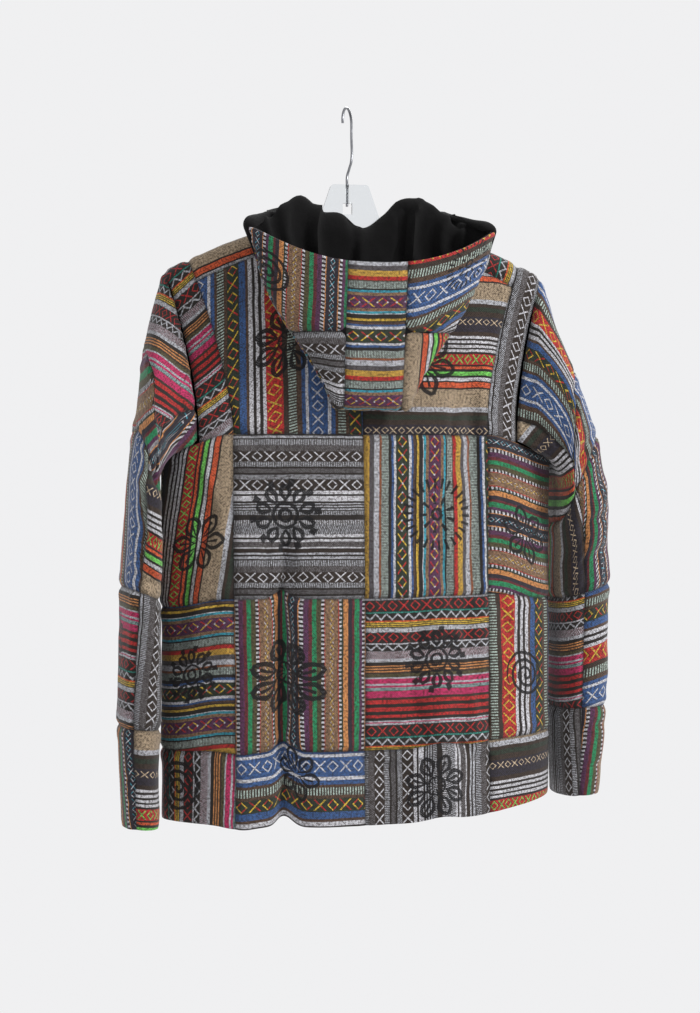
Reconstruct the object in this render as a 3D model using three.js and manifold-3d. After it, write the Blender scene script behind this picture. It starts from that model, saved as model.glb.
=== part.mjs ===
// A hooded patchwork jacket, zipped up and hanging on a clear plastic hanger with a wire hook.
// Millimetres, +Z up. The origin is the point inside the top of the hook where a rail holds it.
// -Y is the side of the jacket's back, and +X is to the right for someone who looks at that back.
import * as THREE from "three";
import Module from "manifold-3d";

const wasm = await Module();
wasm.setup();
const { Manifold, CrossSection, Mesh } = wasm;

// Cloth
const WALL = 2.6; // woven cotton with the fleece bonded behind it
const SLEEVE_WALL = 2;
const SEAM = 0.3; // gap between neighbouring pieces
const JACKET_X = 8; // the jacket hangs a little to one side of the hook

// Body below the arms, a ring that is flatter than a circle
const HALF_WIDTH = { right: 247, left: 238 };
const HALF_DEPTH_HEM = 92;
const HALF_DEPTH_ARM = 72;
const RING_POWER = 2.2;
const UNDERARM_Z = -403;
const UNDERARM_DIP = 22; // how far the armhole drops at the side seam
const HEM = { back: -872, front: -862, right: -846, left: -868 };

// Shoulders and armholes
const RIDGE_Z = -146;
const RIDGE_DROP = 42;
const RIDGE_FLAT = 70; // half width of the level stretch at the neck
const RIDGE_RUN = 135;
const RIDGE_POWER = 1.6;
const RIDGE_RADIUS = 14;
const ARMHOLE_X = 157; // half width of the back at the foot of the armhole
const SHOULDER_GAIN = 50; // how much wider the shoulder is
const ARMHOLE_POWER = 1.6;
const STRIP_WIDTH = { shoulder: 28, foot: 40 }; // of the strip that runs round beside the armhole
const TENT_POWER = 0.75; // how the cloth stands off below the ridge

// Seams, as distances down from the ridge or as heights
const YOKE_BACK = 28; // from the ridge down the back
const YOKE_FRONT = 60; // from the ridge down the front
const NECK_DROP = 10; // how much lower the neck's edge is at the zip
const NECK_EDGE = [
  { over: -28, x: 55 },
  { over: -10, x: 60 },
  { over: 10, x: 62 },
  { over: 35, x: 56 },
  { over: 60, x: 37 },
];

// Large folds of the body: x from the jacket's centre, half width and depth of the trough (negative for a
// ridge), how far the cloth is drawn up there, and the heights where it begins, is full and is gone again
const FOLDS = [
  { side: "back", x: -97, half: 12, depth: 17, lift: 11, begins: -440, full: -620, gone: null },
  { side: "back", x: -52, half: 30, depth: -7, lift: 0, begins: -430, full: -700, gone: null },
  { side: "back", x: 30, half: 34, depth: 6, lift: 0, begins: -560, full: -800, gone: null },
  { side: "back", x: 92, half: 24, depth: -8, lift: 6, begins: -560, full: -680, gone: null },
  { side: "back", x: 138, half: 13, depth: 12, lift: 0, begins: -300, full: -410, gone: -640 },
  { side: "back", x: -150, half: 24, depth: -8, lift: -4, begins: -520, full: -760, gone: null },
  { side: "front", x: -105, half: 26, depth: 11, lift: 5, begins: -420, full: -700, gone: null },
  { side: "front", x: 112, half: 28, depth: 12, lift: 6, begins: -440, full: -720, gone: null },
  { side: "front", x: -55, half: 24, depth: -6, lift: 0, begins: -480, full: -760, gone: null },
  { side: "front", x: 58, half: 24, depth: -6, lift: 0, begins: -500, full: -780, gone: null },
];

// Sleeve sections from the armhole to the cuff: the outer and inner points across the arm, measured from the
// jacket's centre, then the middle and half depth from back to front, and how far the back half leans inwards
const SLEEVES = {
  right: [
    { s: 0.1, outX: 242, outZ: -222, inX: 256, inZ: -448, midY: -2, halfY: 62, lean: 0 },
    { s: 0.2, outX: 262, outZ: -285, inX: 257, inZ: -472, midY: 0, halfY: 70, lean: 2 },
    { s: 0.3, outX: 290, outZ: -362, inX: 256, inZ: -496, midY: 3, halfY: 76, lean: 5 },
    { s: 0.4, outX: 312, outZ: -425, inX: 255, inZ: -522, midY: 8, halfY: 76, lean: 5 },
    { s: 0.5, outX: 322, outZ: -502, inX: 255, inZ: -554, midY: 14, halfY: 74, lean: 0 },
    { s: 0.66, outX: 324, outZ: -604, inX: 256, inZ: -620, midY: 16, halfY: 69, lean: 0 },
    { s: 0.82, outX: 319, outZ: -722, inX: 256, inZ: -728, midY: 12, halfY: 61, lean: 0 },
    { s: 1, outX: 311, outZ: -847, inX: 257, inZ: -850, midY: 8, halfY: 52, lean: 0 },
  ],
  left: [
    { s: 0.1, outX: 238, outZ: -217, inX: 247, inZ: -447, midY: -6, halfY: 62, lean: 2 },
    { s: 0.2, outX: 254, outZ: -277, inX: 248, inZ: -470, midY: -12, halfY: 70, lean: 3 },
    { s: 0.3, outX: 267, outZ: -352, inX: 247, inZ: -493, midY: -20, halfY: 74, lean: 6 },
    { s: 0.4, outX: 278, outZ: -427, inX: 245, inZ: -519, midY: -30, halfY: 74, lean: 6 },
    { s: 0.5, outX: 285, outZ: -505, inX: 243, inZ: -550, midY: -36, halfY: 72, lean: 5 },
    { s: 0.66, outX: 291, outZ: -606, inX: 243, inZ: -618, midY: -40, halfY: 68, lean: 3 },
    { s: 0.82, outX: 293, outZ: -735, inX: 244, inZ: -740, midY: -40, halfY: 60, lean: 0 },
    { s: 1, outX: 288, outZ: -870, inX: 245, inZ: -872, midY: -38, halfY: 51, lean: 0 },
  ],
};
const ARMHOLE_BLEND = 0.22; // share of the sleeve over which the armhole turns into round sections
const BACK_SHARE = 0.36; // share of the armhole that its back edge takes, as its front edge does
const BACK_TURN = 0.32; // how far round the sleeve that back edge reaches
const SLEEVE_SQUARENESS = { along: 0.72, across: 0.85 }; // 1 would be an ellipse
const SAG = 1.6; // the sleeve's lower side hangs lower near the armhole

// Creases of the sleeves: place along and round the sleeve, their half sizes, and depth
const CREASES = {
  right: [
    { s: 0.38, turn: 0.32, along: 0.06, round: 0.14, depth: 6 },
    { s: 0.47, turn: 0.62, along: 0.05, round: 0.1, depth: 6 },
    { s: 0.56, turn: 0.2, along: 0.04, round: 0.12, depth: 5 },
    { s: 0.74, turn: 0.33, along: 0.05, round: 0.12, depth: 4 },
  ],
  left: [
    { s: 0.34, turn: 0.26, along: 0.05, round: 0.16, depth: 5 },
    { s: 0.46, turn: 0.3, along: 0.05, round: 0.13, depth: -5 },
    { s: 0.61, turn: 0.28, along: 0.05, round: 0.15, depth: 5 },
    { s: 0.8, turn: 0.2, along: 0.05, round: 0.12, depth: 4 },
  ],
};

// Hood: a pouch that hangs over the back. Half width, half depth and the place of its inner side by height
const HOOD_X = 14;
const HOOD_POWER = 2.4;
const HOOD_SECTIONS = [
  { z: -378, half: 46, depth: 18, inner: -73 },
  { z: -330, half: 67, depth: 24, inner: -66 },
  { z: -280, half: 99, depth: 32, inner: -58 },
  { z: -245, half: 120, depth: 39, inner: -52 },
  { z: -203, half: 138, depth: 44, inner: -48 },
  { z: -155, half: 150, depth: 42, inner: -54 },
  { z: -118, half: 152, depth: 38, inner: -56 },
];
const HOOD_BOTTOM_RADIUS = 18;
const HOOD_CROSS_SEAM = -284;
const HOOD_STRIP = 36; // half width of the hood's centre strip
const HOOD_RIM = { middle: -203, rise: 43, power: 2.4 };
const HOOD_ROLL = [
  { x: -145, z: -150 },
  { x: -125, z: -143 },
  { x: -104, z: -140 },
  { x: -72, z: -119 },
  { x: -46, z: -134 },
  { x: -15, z: -138 },
  { x: 12, z: -151 },
  { x: 42, z: -136 },
  { x: 60, z: -122 },
  { x: 95, z: -124 },
  { x: 120, z: -142 },
  { x: 150, z: -150 },
  { x: 166, z: -152 },
];
const ROLL_DROP = 16; // from the roll's crest to the top of the pouch
const ROLL_LEAST = 8; // the crest stands at least this much over both its ends
const STAND_RISE = 30;
const HOOD_WALL = 2.2;
const LINING_WALL = 2;
const COLLAR_HEIGHT = 44; // of the hood's edge beside the zip

// Hanger
const WIRE_RADIUS = 1.6;
const HOOK_RADIUS = 17.6; // to the middle of the wire
const HOOK_TURN = THREE.MathUtils.degToRad(-118); // where the hook's tip points, seen from above
const SHANK = { bends: -60, straight: -84, head: -120 };
const HEAD = { radius: 3.2, height: 3 };
const PLATE = { x: 3, top: -93, halfTop: 23, foot: -160, halfFoot: 46, corner: 5, thickness: 7, bore: 2 };
const WINDOW = { halfWidth: 6, top: -116, bottom: -130 };
const ARM = { halfThickness: 7.5, height: 22, tipHeight: 14, reach: 184, below: 4.5, neckBelow: 5 };

// Zip
const TAPE_WIDTH = 14;
const TAPE_WALL = 1.2;
const SLIDER = { z: -243, width: 8.2, height: 13, thickness: 4.6 };
const LUG = { width: 1.4, radius: 1.9, stand: 3.4 };
const PIN_RADIUS = 0.7;
const PULL = { width: 4.6, length: 26, thickness: 1.5, eye: 1.15, clear: 0.6 };

const DEG = Math.PI / 180;
const lerp = (a, b, k) => a + (b - a) * k;
const clamp01 = (k) => Math.min(1, Math.max(0, k));
const smooth = (k) => clamp01(k) ** 2 * (3 - 2 * clamp01(k));
const signedPower = (value, power) => Math.sign(value) * Math.abs(value) ** power;
const bell = (k) => Math.exp(-k * k);

// The value of one column of a table of rows at a place, along a smooth curve through the rows
function column(rows, key, name, at) {
  const last = rows.length - 1;
  let i = 0;
  while (i < last - 1 && rows[i + 1][key] <= at) i += 1;
  const [p, q] = [rows[i], rows[i + 1]];
  const slope = (a, b) => (rows[b][name] - rows[a][name]) / (rows[b][key] - rows[a][key]);
  const span = q[key] - p[key];
  const k = clamp01((at - p[key]) / span);
  const before = slope(Math.max(0, i - 1), i + 1);
  const after = slope(i, Math.min(last, i + 2));
  const [k2, k3] = [k * k, k * k * k];
  const ends = (2 * k3 - 3 * k2 + 1) * p[name] + (3 * k2 - 2 * k3) * q[name];
  return ends + (k3 - 2 * k2 + k) * span * before + (k3 - k2) * span * after;
}

// Depth and lift of the folds at a point of the back or front
function folded(side, x, z) {
  let [depth, lift] = [0, 0];
  for (const f of FOLDS) {
    if (f.side !== side) continue;
    const begun = smooth((f.begins - z) / (f.begins - f.full));
    const gone = f.gone === null ? 0 : smooth((f.full - z) / (f.full - f.gone));
    const near = begun * (1 - gone) * bell((x - f.x) / f.half);
    depth += f.depth * near;
    lift += f.lift * near;
  }
  return { depth, lift };
}

function withFolds(x, y, z) {
  const side = y < 0 ? "back" : "front";
  const { depth, lift } = folded(side, x, z);
  const fade = smooth((Math.abs(y) - 6) / 40);
  return new THREE.Vector3(JACKET_X + x, y - Math.sign(y) * depth * fade, z + lift * fade);
}

// The body's ring. The angle is 0 at the middle of the back, 90 at the right side and 180 at the zip.
const ringX = (angle) => {
  const sine = Math.sin(angle * DEG);
  return signedPower(sine, 2 / RING_POWER) * (sine > 0 ? HALF_WIDTH.right : HALF_WIDTH.left);
};
const ringY = (angle, depth) => -signedPower(Math.cos(angle * DEG), 2 / RING_POWER) * depth;
const ringAngle = (x) => {
  const share = Math.min(1, Math.abs(x) / (x > 0 ? HALF_WIDTH.right : HALF_WIDTH.left));
  return (Math.sign(x) * Math.asin(share ** (RING_POWER / 2))) / DEG;
};
const ARM_ANGLE = { right: ringAngle(ARMHOLE_X), left: -ringAngle(-ARMHOLE_X) };
const STRIP_ANGLE = {
  right: ringAngle(ARMHOLE_X + STRIP_WIDTH.foot),
  left: -ringAngle(-ARMHOLE_X - STRIP_WIDTH.foot),
};

const hemZ = (angle) => {
  const [c, s] = [Math.cos(angle * DEG), Math.sin(angle * DEG)];
  const ends = c > 0 ? HEM.back : HEM.front;
  const sides = s > 0 ? HEM.right : HEM.left;
  return ends * c * c + sides * s * s;
};
const underarmZ = (angle) => {
  const away = Math.abs(Math.sin(angle * DEG));
  const start = Math.sin((angle > 0 ? ARM_ANGLE.right : ARM_ANGLE.left) * DEG);
  return UNDERARM_Z - UNDERARM_DIP * smooth((away - start) / (1 - start));
};

// Below the arms: an angle, and a height that is -1 at the hem and 0 at the underarm
function lower(angle, level) {
  const z = lerp(underarmZ(angle), hemZ(angle), -level);
  const depth = lerp(HALF_DEPTH_ARM, HALF_DEPTH_HEM, (-level) ** 0.8);
  return withFolds(ringX(angle), ringY(angle, depth), z);
}

// Above the arms: t is -1 at the left edge of the back and 1 at the right one, and the strips reach on to -2
// and 2. down is the share of the way from the ridge to the underarm, negative on the back and positive on
// the front.
const ridgeZ = (x) => {
  const away = Math.max(0, Math.abs(x) - RIDGE_FLAT) / RIDGE_RUN;
  return RIDGE_Z - RIDGE_DROP * away ** RIDGE_POWER;
};
const widening = (down) => 1 + (SHOULDER_GAIN / ARMHOLE_X) * (1 - Math.abs(down)) ** ARMHOLE_POWER;
function columnAngle(t) {
  const side = t > 0 ? "right" : "left";
  const away = Math.abs(t);
  const angle = away <= 1 ? away * ARM_ANGLE[side] : lerp(ARM_ANGLE[side], STRIP_ANGLE[side], away - 1);
  return Math.sign(t) * angle;
}
function upperX(t, down) {
  const onBack = Math.max(-1, Math.min(1, t));
  const width = lerp(STRIP_WIDTH.shoulder, STRIP_WIDTH.foot, Math.abs(down));
  return ringX(columnAngle(onBack)) * widening(down) + (t - onBack) * width;
}
const ridgeHeight = (t) => ridgeZ(upperX(t, 0)) - underarmZ(columnAngle(t));
function upper(t, down) {
  const angle = columnAngle(t);
  const height = ridgeHeight(t);
  const fallen = Math.abs(down) * height;
  const bead = fallen < RIDGE_RADIUS ? Math.sqrt(fallen * (2 * RIDGE_RADIUS - fallen)) : RIDGE_RADIUS;
  const full = Math.abs(ringY(angle, HALF_DEPTH_ARM));
  const off = bead + (full - RIDGE_RADIUS) * Math.abs(down) ** TENT_POWER;
  return withFolds(upperX(t, down), Math.sign(down) * off, underarmZ(angle) + height - fallen);
}

// The armhole's edge: w runs from the shoulder down the back, under the arm and up the front
function armhole(side, w) {
  const sign = side === "right" ? 1 : -1;
  if (w <= BACK_SHARE) return upper(2 * sign, -w / BACK_SHARE);
  if (w >= 1 - BACK_SHARE) return upper(2 * sign, (1 - w) / BACK_SHARE);
  const k = (w - BACK_SHARE) / (1 - 2 * BACK_SHARE);
  return lower(sign * lerp(STRIP_ANGLE[side], 180 - STRIP_ANGLE[side], k), 0);
}
// Where a place of the armhole sits round the sleeve, 0 at the shoulder and 0.5 under the arm
function turnOf(w) {
  const half = Math.min(w, 1 - w);
  const under = BACK_TURN + ((half - BACK_SHARE) * (0.5 - BACK_TURN)) / (0.5 - BACK_SHARE);
  const turn = half < BACK_SHARE ? (half * BACK_TURN) / BACK_SHARE : under;
  return w > 0.5 ? 1 - turn : turn;
}

// A point of a sleeve: w goes round as on the armhole, s along to the cuff
function sleeve(side, w, s) {
  const rows = SLEEVES[side];
  const at = Math.max(rows[0].s, s);
  const value = (name) => column(rows, "s", name, at);
  const turn = turnOf(w);
  const round = 2 * Math.PI * turn;
  const sag = lerp(SAG, 1, smooth((at - 0.1) / 0.3));
  const along = signedPower(Math.cos(round), SLEEVE_SQUARENESS.along);
  const across = signedPower(Math.sin(round), SLEEVE_SQUARENESS.across);
  const x = lerp(value("inX"), value("outX"), (1 + along) / 2) - value("lean") * Math.max(0, across) ** 2;
  const z = lerp(value("inZ"), value("outZ"), ((1 + along) / 2) ** sag);
  const y = value("midY") - value("halfY") * across;
  const sign = side === "right" ? 1 : -1;
  const tube = new THREE.Vector3(JACKET_X + sign * x, y, z);
  const centreX = JACKET_X + (sign * (value("inX") + value("outX"))) / 2;
  const centre = new THREE.Vector3(centreX, value("midY"), (value("inZ") + value("outZ")) / 2);
  for (const c of CREASES[side]) {
    const away = Math.abs(((turn - c.turn + 1.5) % 1) - 0.5);
    const size = c.depth * bell((s - c.s) / c.along) * bell(away / c.round);
    tube.addScaledVector(tube.clone().sub(centre).normalize(), -size);
  }
  return armhole(side, w).lerp(tube, smooth(s / ARMHOLE_BLEND));
}

// The cloth is one net of points. Each piece takes its own cells of the net, so that neighbours keep the same
// edge. The points know their outward direction, and each piece steps back from its seams by half a gap.
const points = [];
const cells = [];
const addPoint = (at) => points.push(at) - 1;

function addCells(grid, pieceOf) {
  for (let i = 0; i + 1 < grid.length; i += 1) {
    for (let j = 0; j + 1 < grid[i].length; j += 1) {
      const piece = pieceOf(i, j);
      const corners = [grid[i][j], grid[i][j + 1], grid[i + 1][j + 1], grid[i + 1][j]];
      if (piece) cells.push({ piece, corners });
    }
  }
}

// Evenly spaced values, both ends included
const steps = (from, to, count) => Array.from({ length: count + 1 }, (_, i) => lerp(from, to, i / count));
const sided = (sign) => (sign > 0 ? "right" : "left");

// Places of the net's columns across the back and each front, measured at the underarm
const BACK_COLUMNS = [0, 14, 28, 42, 55, 70, 85, 97, 109, 126, 138, ARMHOLE_X];
const FRONT_COLUMNS = [5, 16, 27, 37, 54, 71, 88, 105, 122, 139, ARMHOLE_X];
const NECK_COLUMN = { back: 4, front: 3 }; // the column where the neck's edge meets the seam
const BODY_ROWS = { hem: steps(-1, -0.81, 2), lower: steps(-0.81, -0.422, 5), middle: steps(-0.422, 0, 6) };
const UNDERARM_CELLS = 5; // of the armhole between the strips
const STRIP_CELLS = 2; // across a strip
const SIDE_CELLS = UNDERARM_CELLS + 2 * STRIP_CELLS;

// Body below the arms, column by column from the zip round the back to the zip
const frontAngle = (sign, x) => sign * 180 - ringAngle(sign * x);
const sideAngles = (side) => {
  const [panel, strip] = [ARM_ANGLE[side], STRIP_ANGLE[side]];
  const front = steps(180 - panel, 180 - strip, STRIP_CELLS);
  const under = steps(180 - strip, strip, UNDERARM_CELLS).slice(1);
  const back = steps(strip, panel, STRIP_CELLS).slice(1);
  return [...front, ...under, ...back];
};
const bodyColumns = [];
FRONT_COLUMNS.forEach((x) => bodyColumns.push({ part: "left_front", angle: frontAngle(-1, x) }));
sideAngles("left").slice(1).forEach((angle) => bodyColumns.push({ part: "left_side", angle: -angle }));
BACK_COLUMNS.slice(0, -1)
  .reverse()
  .forEach((x) => bodyColumns.push({ part: "back_left", angle: ringAngle(-x) }));
BACK_COLUMNS.slice(1).forEach((x) => bodyColumns.push({ part: "back_right", angle: ringAngle(x) }));
sideAngles("right").reverse().slice(1).forEach((angle) => bodyColumns.push({ part: "right_side", angle }));
FRONT_COLUMNS.slice(0, -1)
  .reverse()
  .forEach((x) => bodyColumns.push({ part: "right_front", angle: frontAngle(1, x) }));

const bodyRows = [];
for (const [row, levels] of Object.entries(BODY_ROWS)) {
  levels.slice(row === "hem" ? 0 : 1).forEach((level) => bodyRows.push({ row, level }));
}
const bodyGrid = bodyRows.map(({ level }) => bodyColumns.map(({ angle }) => addPoint(lower(angle, level))));
addCells(bodyGrid, (i, j) => `${bodyColumns[j + 1].part}_${bodyRows[i + 1].row}`);

const underarm = bodyGrid.at(-1);
const lastFront = FRONT_COLUMNS.length - 1;
const backStart = lastFront + SIDE_CELLS;
const backEnd = backStart + 2 * (BACK_COLUMNS.length - 1);
const leftFront = underarm.slice(0, lastFront + 1);
const leftUnder = underarm.slice(lastFront, backStart + 1);
const backUnder = underarm.slice(backStart, backEnd + 1);
const rightUnder = underarm.slice(backEnd, backEnd + SIDE_CELLS + 1);
const rightFront = underarm.slice(backEnd + SIDE_CELLS).reverse();

// Back above the arms, from the underarm up to the seam below the ridge
const YOKE_CELLS = 6;
const tOf = (x) => ringAngle(x) / (x > 0 ? ARM_ANGLE.right : ARM_ANGLE.left);
const backX = [...BACK_COLUMNS.slice(1).reverse().map((x) => -x), ...BACK_COLUMNS];
const yokeGrid = [backUnder];
steps(1, 0, YOKE_CELLS)
  .slice(1)
  .forEach((k) => {
    yokeGrid.push(
      backX.map((x) => {
        const t = tOf(x);
        return addPoint(upper(t, -lerp(YOKE_BACK / ridgeHeight(t), 1, k)));
      })
    );
  });
addCells(yokeGrid, (i, j) => (backX[j] < 0 ? "back_left_yoke" : "back_right_yoke"));

// Shoulder pieces of the fronts, over the ridge from the back seam to the chest seam
const SHOULDER_ROWS = [-YOKE_BACK, -14, -5, 0, 5, 14, 30, 45, YOKE_FRONT];
const shoulderCells = BACK_COLUMNS.length - 1 - NECK_COLUMN.back;
const middleBack = BACK_COLUMNS.length - 1;
function shoulderPoint(sign, over, k) {
  const share = (over + YOKE_BACK) / (YOKE_FRONT + YOKE_BACK);
  const onBack = BACK_COLUMNS[NECK_COLUMN.back + k];
  const onFront = FRONT_COLUMNS[NECK_COLUMN.front + k];
  const inner = lerp(BACK_COLUMNS[NECK_COLUMN.back], FRONT_COLUMNS[NECK_COLUMN.front], share);
  const pushed = (column(NECK_EDGE, "over", "x", over) - inner) * Math.max(0, 1 - k / 5);
  const t = tOf(sign * (lerp(onBack, onFront, share) + pushed));
  return upper(t, over / ridgeHeight(t));
}
const shoulders = {};
for (const sign of [-1, 1]) {
  // rows from the back seam forward, columns from the neck outwards
  const rows = SHOULDER_ROWS.map((over, i) =>
    Array.from({ length: shoulderCells + 1 }, (_, k) =>
      i === 0
        ? yokeGrid.at(-1)[middleBack + sign * (NECK_COLUMN.back + k)]
        : addPoint(shoulderPoint(sign, over, k))
    )
  );
  shoulders[sided(sign)] = rows;
  const ordered = sign > 0 ? rows : rows.map((r) => [...r].reverse());
  addCells(ordered, () => `${sided(sign)}_front_shoulder`);
}

// Fronts from the chest seam down to the underarm
const CHEST_CELLS = 5;
const chests = {};
for (const sign of [-1, 1]) {
  const under = sign > 0 ? rightFront : leftFront;
  const rows = steps(0, 1, CHEST_CELLS).map((k) =>
    FRONT_COLUMNS.map((x, c) => {
      if (k === 1) return under[c];
      if (k === 0 && c >= NECK_COLUMN.front) return shoulders[sided(sign)].at(-1)[c - NECK_COLUMN.front];
      const t = tOf(sign * x);
      const dropped = NECK_DROP * Math.max(0, 1 - (x / FRONT_COLUMNS[NECK_COLUMN.front]) ** 2);
      const top = (YOKE_FRONT + dropped) / ridgeHeight(t);
      return addPoint(upper(t, lerp(top, 1, k)));
    })
  );
  chests[sided(sign)] = rows;
  const ordered = sign > 0 ? rows : rows.map((r) => [...r].reverse());
  addCells(ordered, () => `${sided(sign)}_front_chest`);
}

// Strips beside the armholes, from the back underarm over the shoulder to the front underarm
const strips = {};
for (const sign of [-1, 1]) {
  const side = sided(sign);
  const under = sign > 0 ? rightUnder : [...leftUnder].reverse();
  const height = ridgeHeight(sign);
  const inner = [
    ...yokeGrid.map((row, i) => {
      const down = -lerp(YOKE_BACK / height, 1, 1 - i / YOKE_CELLS);
      return { point: sign > 0 ? row.at(-1) : row[0], down };
    }),
    ...shoulders[side].slice(1).map((row, i) => ({ point: row.at(-1), down: SHOULDER_ROWS[i + 1] / height })),
    ...chests[side].slice(1).map((row, i) => {
      const down = lerp(YOKE_FRONT / height, 1, (i + 1) / CHEST_CELLS);
      return { point: row.at(-1), down };
    }),
  ];
  const rows = inner.map(({ point, down }, i) => {
    const row = [point];
    for (let k = 1; k <= STRIP_CELLS; k += 1) {
      if (i === 0) row.push(under[k]);
      else if (i === inner.length - 1) row.push(under[under.length - 1 - k]);
      else row.push(addPoint(upper(sign * (1 + k / STRIP_CELLS), down)));
    }
    return row;
  });
  strips[side] = rows.map((row, i) => ({ point: row.at(-1), down: inner[i].down }));
  addCells(sign > 0 ? rows : rows.map((r) => [...r].reverse()), () => `${side}_sleeve_strip`);
}

// Sleeves, round from the shoulder down the back, under the arm and up the front
const SLEEVE_ROWS = {
  upper: [0.05, 0.1, 0.15, 0.2, 0.24],
  second: [0.3, 0.36],
  elbow: [0.42, 0.49, 0.56, 0.63],
  forearm: [0.73, 0.84],
  cuff: [0.92, 1],
};
const OUTER_SEAM = { right: 0.31, left: 0.23 }; // half of the outer patches' stretch round the sleeve
function armholeLoop(side) {
  const under = side === "right" ? rightUnder : [...leftUnder].reverse();
  const ridge = strips[side].findIndex(({ down }) => down === 0);
  const back = strips[side].slice(0, ridge + 1).reverse();
  const front = strips[side].slice(ridge).reverse();
  return [
    ...back.map(({ point, down }) => ({ point, w: BACK_SHARE * -down })),
    ...under.slice(STRIP_CELLS + 1, -STRIP_CELLS - 1).map((point, i) => {
      return { point, w: lerp(BACK_SHARE, 1 - BACK_SHARE, (i + 1) / UNDERARM_CELLS) };
    }),
    ...front.map(({ point, down }) => ({ point, w: 1 - BACK_SHARE * down })),
  ];
}
for (const side of ["right", "left"]) {
  const loop = armholeLoop(side);
  const rows = [loop.map(({ point }) => point)];
  const names = [null];
  for (const [name, places] of Object.entries(SLEEVE_ROWS)) {
    for (const s of places) {
      const row = loop.slice(0, -1).map(({ w }) => addPoint(sleeve(side, w, s)));
      rows.push([...row, row[0]]);
      names.push(name);
    }
  }
  const outer = (j) => {
    const middle = (loop[j].w + loop[j + 1].w) / 2;
    return middle < OUTER_SEAM[side] || middle > 1 - OUTER_SEAM[side];
  };
  const pieceOf = (i, j) => {
    const name = names[i + 1];
    if (outer(j)) return `${side}_sleeve_${name}_outer`;
    return `${side}_sleeve_${name === "second" ? "upper" : name}_inner`;
  };
  if (side === "right") addCells(rows, pieceOf);
  else {
    const cellCount = loop.length - 1;
    addCells(rows.map((r) => [...r].reverse()), (i, j) => pieceOf(i, cellCount - 1 - j));
  }
}

// The neck's edge from the zip on the left round the back to the zip on the right
function neckEdge() {
  const half = (side, sign) => {
    const back = [1, 2, 3].map((c) => yokeGrid.at(-1)[middleBack + sign * c]);
    const shoulder = shoulders[side].map((row) => row[0]);
    const chest = [2, 1, 0].map((c) => chests[side][0][c]);
    return [...back, ...shoulder, ...chest];
  };
  return [...half("left", -1).reverse(), yokeGrid.at(-1)[middleBack], ...half("right", 1)];
}

// The hood is one sheet: up from the neck's edge, over the roll, down into the pouch and up to the rim
const neck = neckEdge();
const END = (neck.length - 1) / 2; // columns on each side of the middle one
const TIP = 7; // the column where the pouch ends and the free edge of the hood begins
const STRIP_COLUMNS = 2;
const hoodSection = (name, z) => column(HOOD_SECTIONS, "z", name, Math.max(HOOD_SECTIONS[0].z, z));

// A point of the pouch's ring at a height, on the neck side (facing 1) or the outer side (facing -1)
function pouch(j, facing, z) {
  const half = hoodSection("half", z);
  const rounding = Math.min(1, (z - HOOD_SECTIONS[0].z) / HOOD_BOTTOM_RADIUS);
  const depth = hoodSection("depth", z) * Math.sqrt(1 - (1 - rounding) ** 2);
  const middle = hoodSection("inner", z) - hoodSection("depth", z);
  const edge = Math.acos((HOOD_STRIP / half) ** (HOOD_POWER / 2));
  const away = Math.abs(j);
  const angle = away > STRIP_COLUMNS ? lerp(edge, 0, (away - STRIP_COLUMNS) / (TIP - STRIP_COLUMNS)) : null;
  const beyond = half * Math.cos(angle ?? 0) ** (2 / HOOD_POWER);
  const across = angle === null ? (HOOD_STRIP * away) / STRIP_COLUMNS : beyond;
  const out = (1 - Math.min(1, across / half) ** HOOD_POWER) ** (1 / HOOD_POWER);
  return new THREE.Vector3(HOOD_X + Math.sign(j) * across, middle + facing * depth * out, z);
}
function pouchTop(j, facing) {
  const x = pouch(j, 1, -160).x;
  const rim = HOOD_RIM.middle + HOOD_RIM.rise * clamp01(Math.abs(x - HOOD_X) / 150) ** HOOD_RIM.power;
  if (facing < 0) return rim;
  const roll = column(HOOD_ROLL, "x", "z", x) - HOOD_WALL - LINING_WALL - ROLL_DROP;
  return lerp(roll, rim, smooth((Math.abs(j) - 5) / (TIP - 5)));
}
// The arch from the neck's edge over the roll into the pouch, with its crest half way
function arch(j, share) {
  const foot = points[neck[END + j]];
  const end = pouch(j, 1, pouchTop(j, 1));
  const roll = column(HOOD_ROLL, "x", "z", end.x) - HOOD_WALL - LINING_WALL;
  const crest = Math.max(roll, Math.max(foot.z, end.z) + ROLL_LEAST);
  const rise = (crest - (foot.z + end.z) / 2) / 0.75;
  const up = new THREE.Vector3(0, 0, rise);
  return new THREE.CubicBezierCurve3(foot, foot.clone().add(up), end.clone().add(up), end).getPoint(share);
}
// In front of the pouch the hood's edge is free and runs down to the zip
function freeEdge(j) {
  const sign = Math.sign(j);
  const from = arch(sign * TIP, 0.5);
  const end = points[neck[END + sign * END]].clone().add(new THREE.Vector3(sign * 2, 4, COLLAR_HEIGHT));
  const curve = new THREE.CubicBezierCurve3(
    from,
    new THREE.Vector3(from.x - sign * 2, 6, -128),
    new THREE.Vector3(JACKET_X + sign * 84, 58, -134),
    end
  );
  return curve.getPoint((Math.abs(j) - TIP) / (END - TIP));
}
function stand(j, share) {
  if (Math.abs(j) <= TIP) return arch(j, share / 2);
  const foot = points[neck[END + j]];
  const up = foot.clone();
  up.z += STAND_RISE;
  return new THREE.QuadraticBezierCurve3(foot, up, freeEdge(j)).getPoint(share);
}

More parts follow.
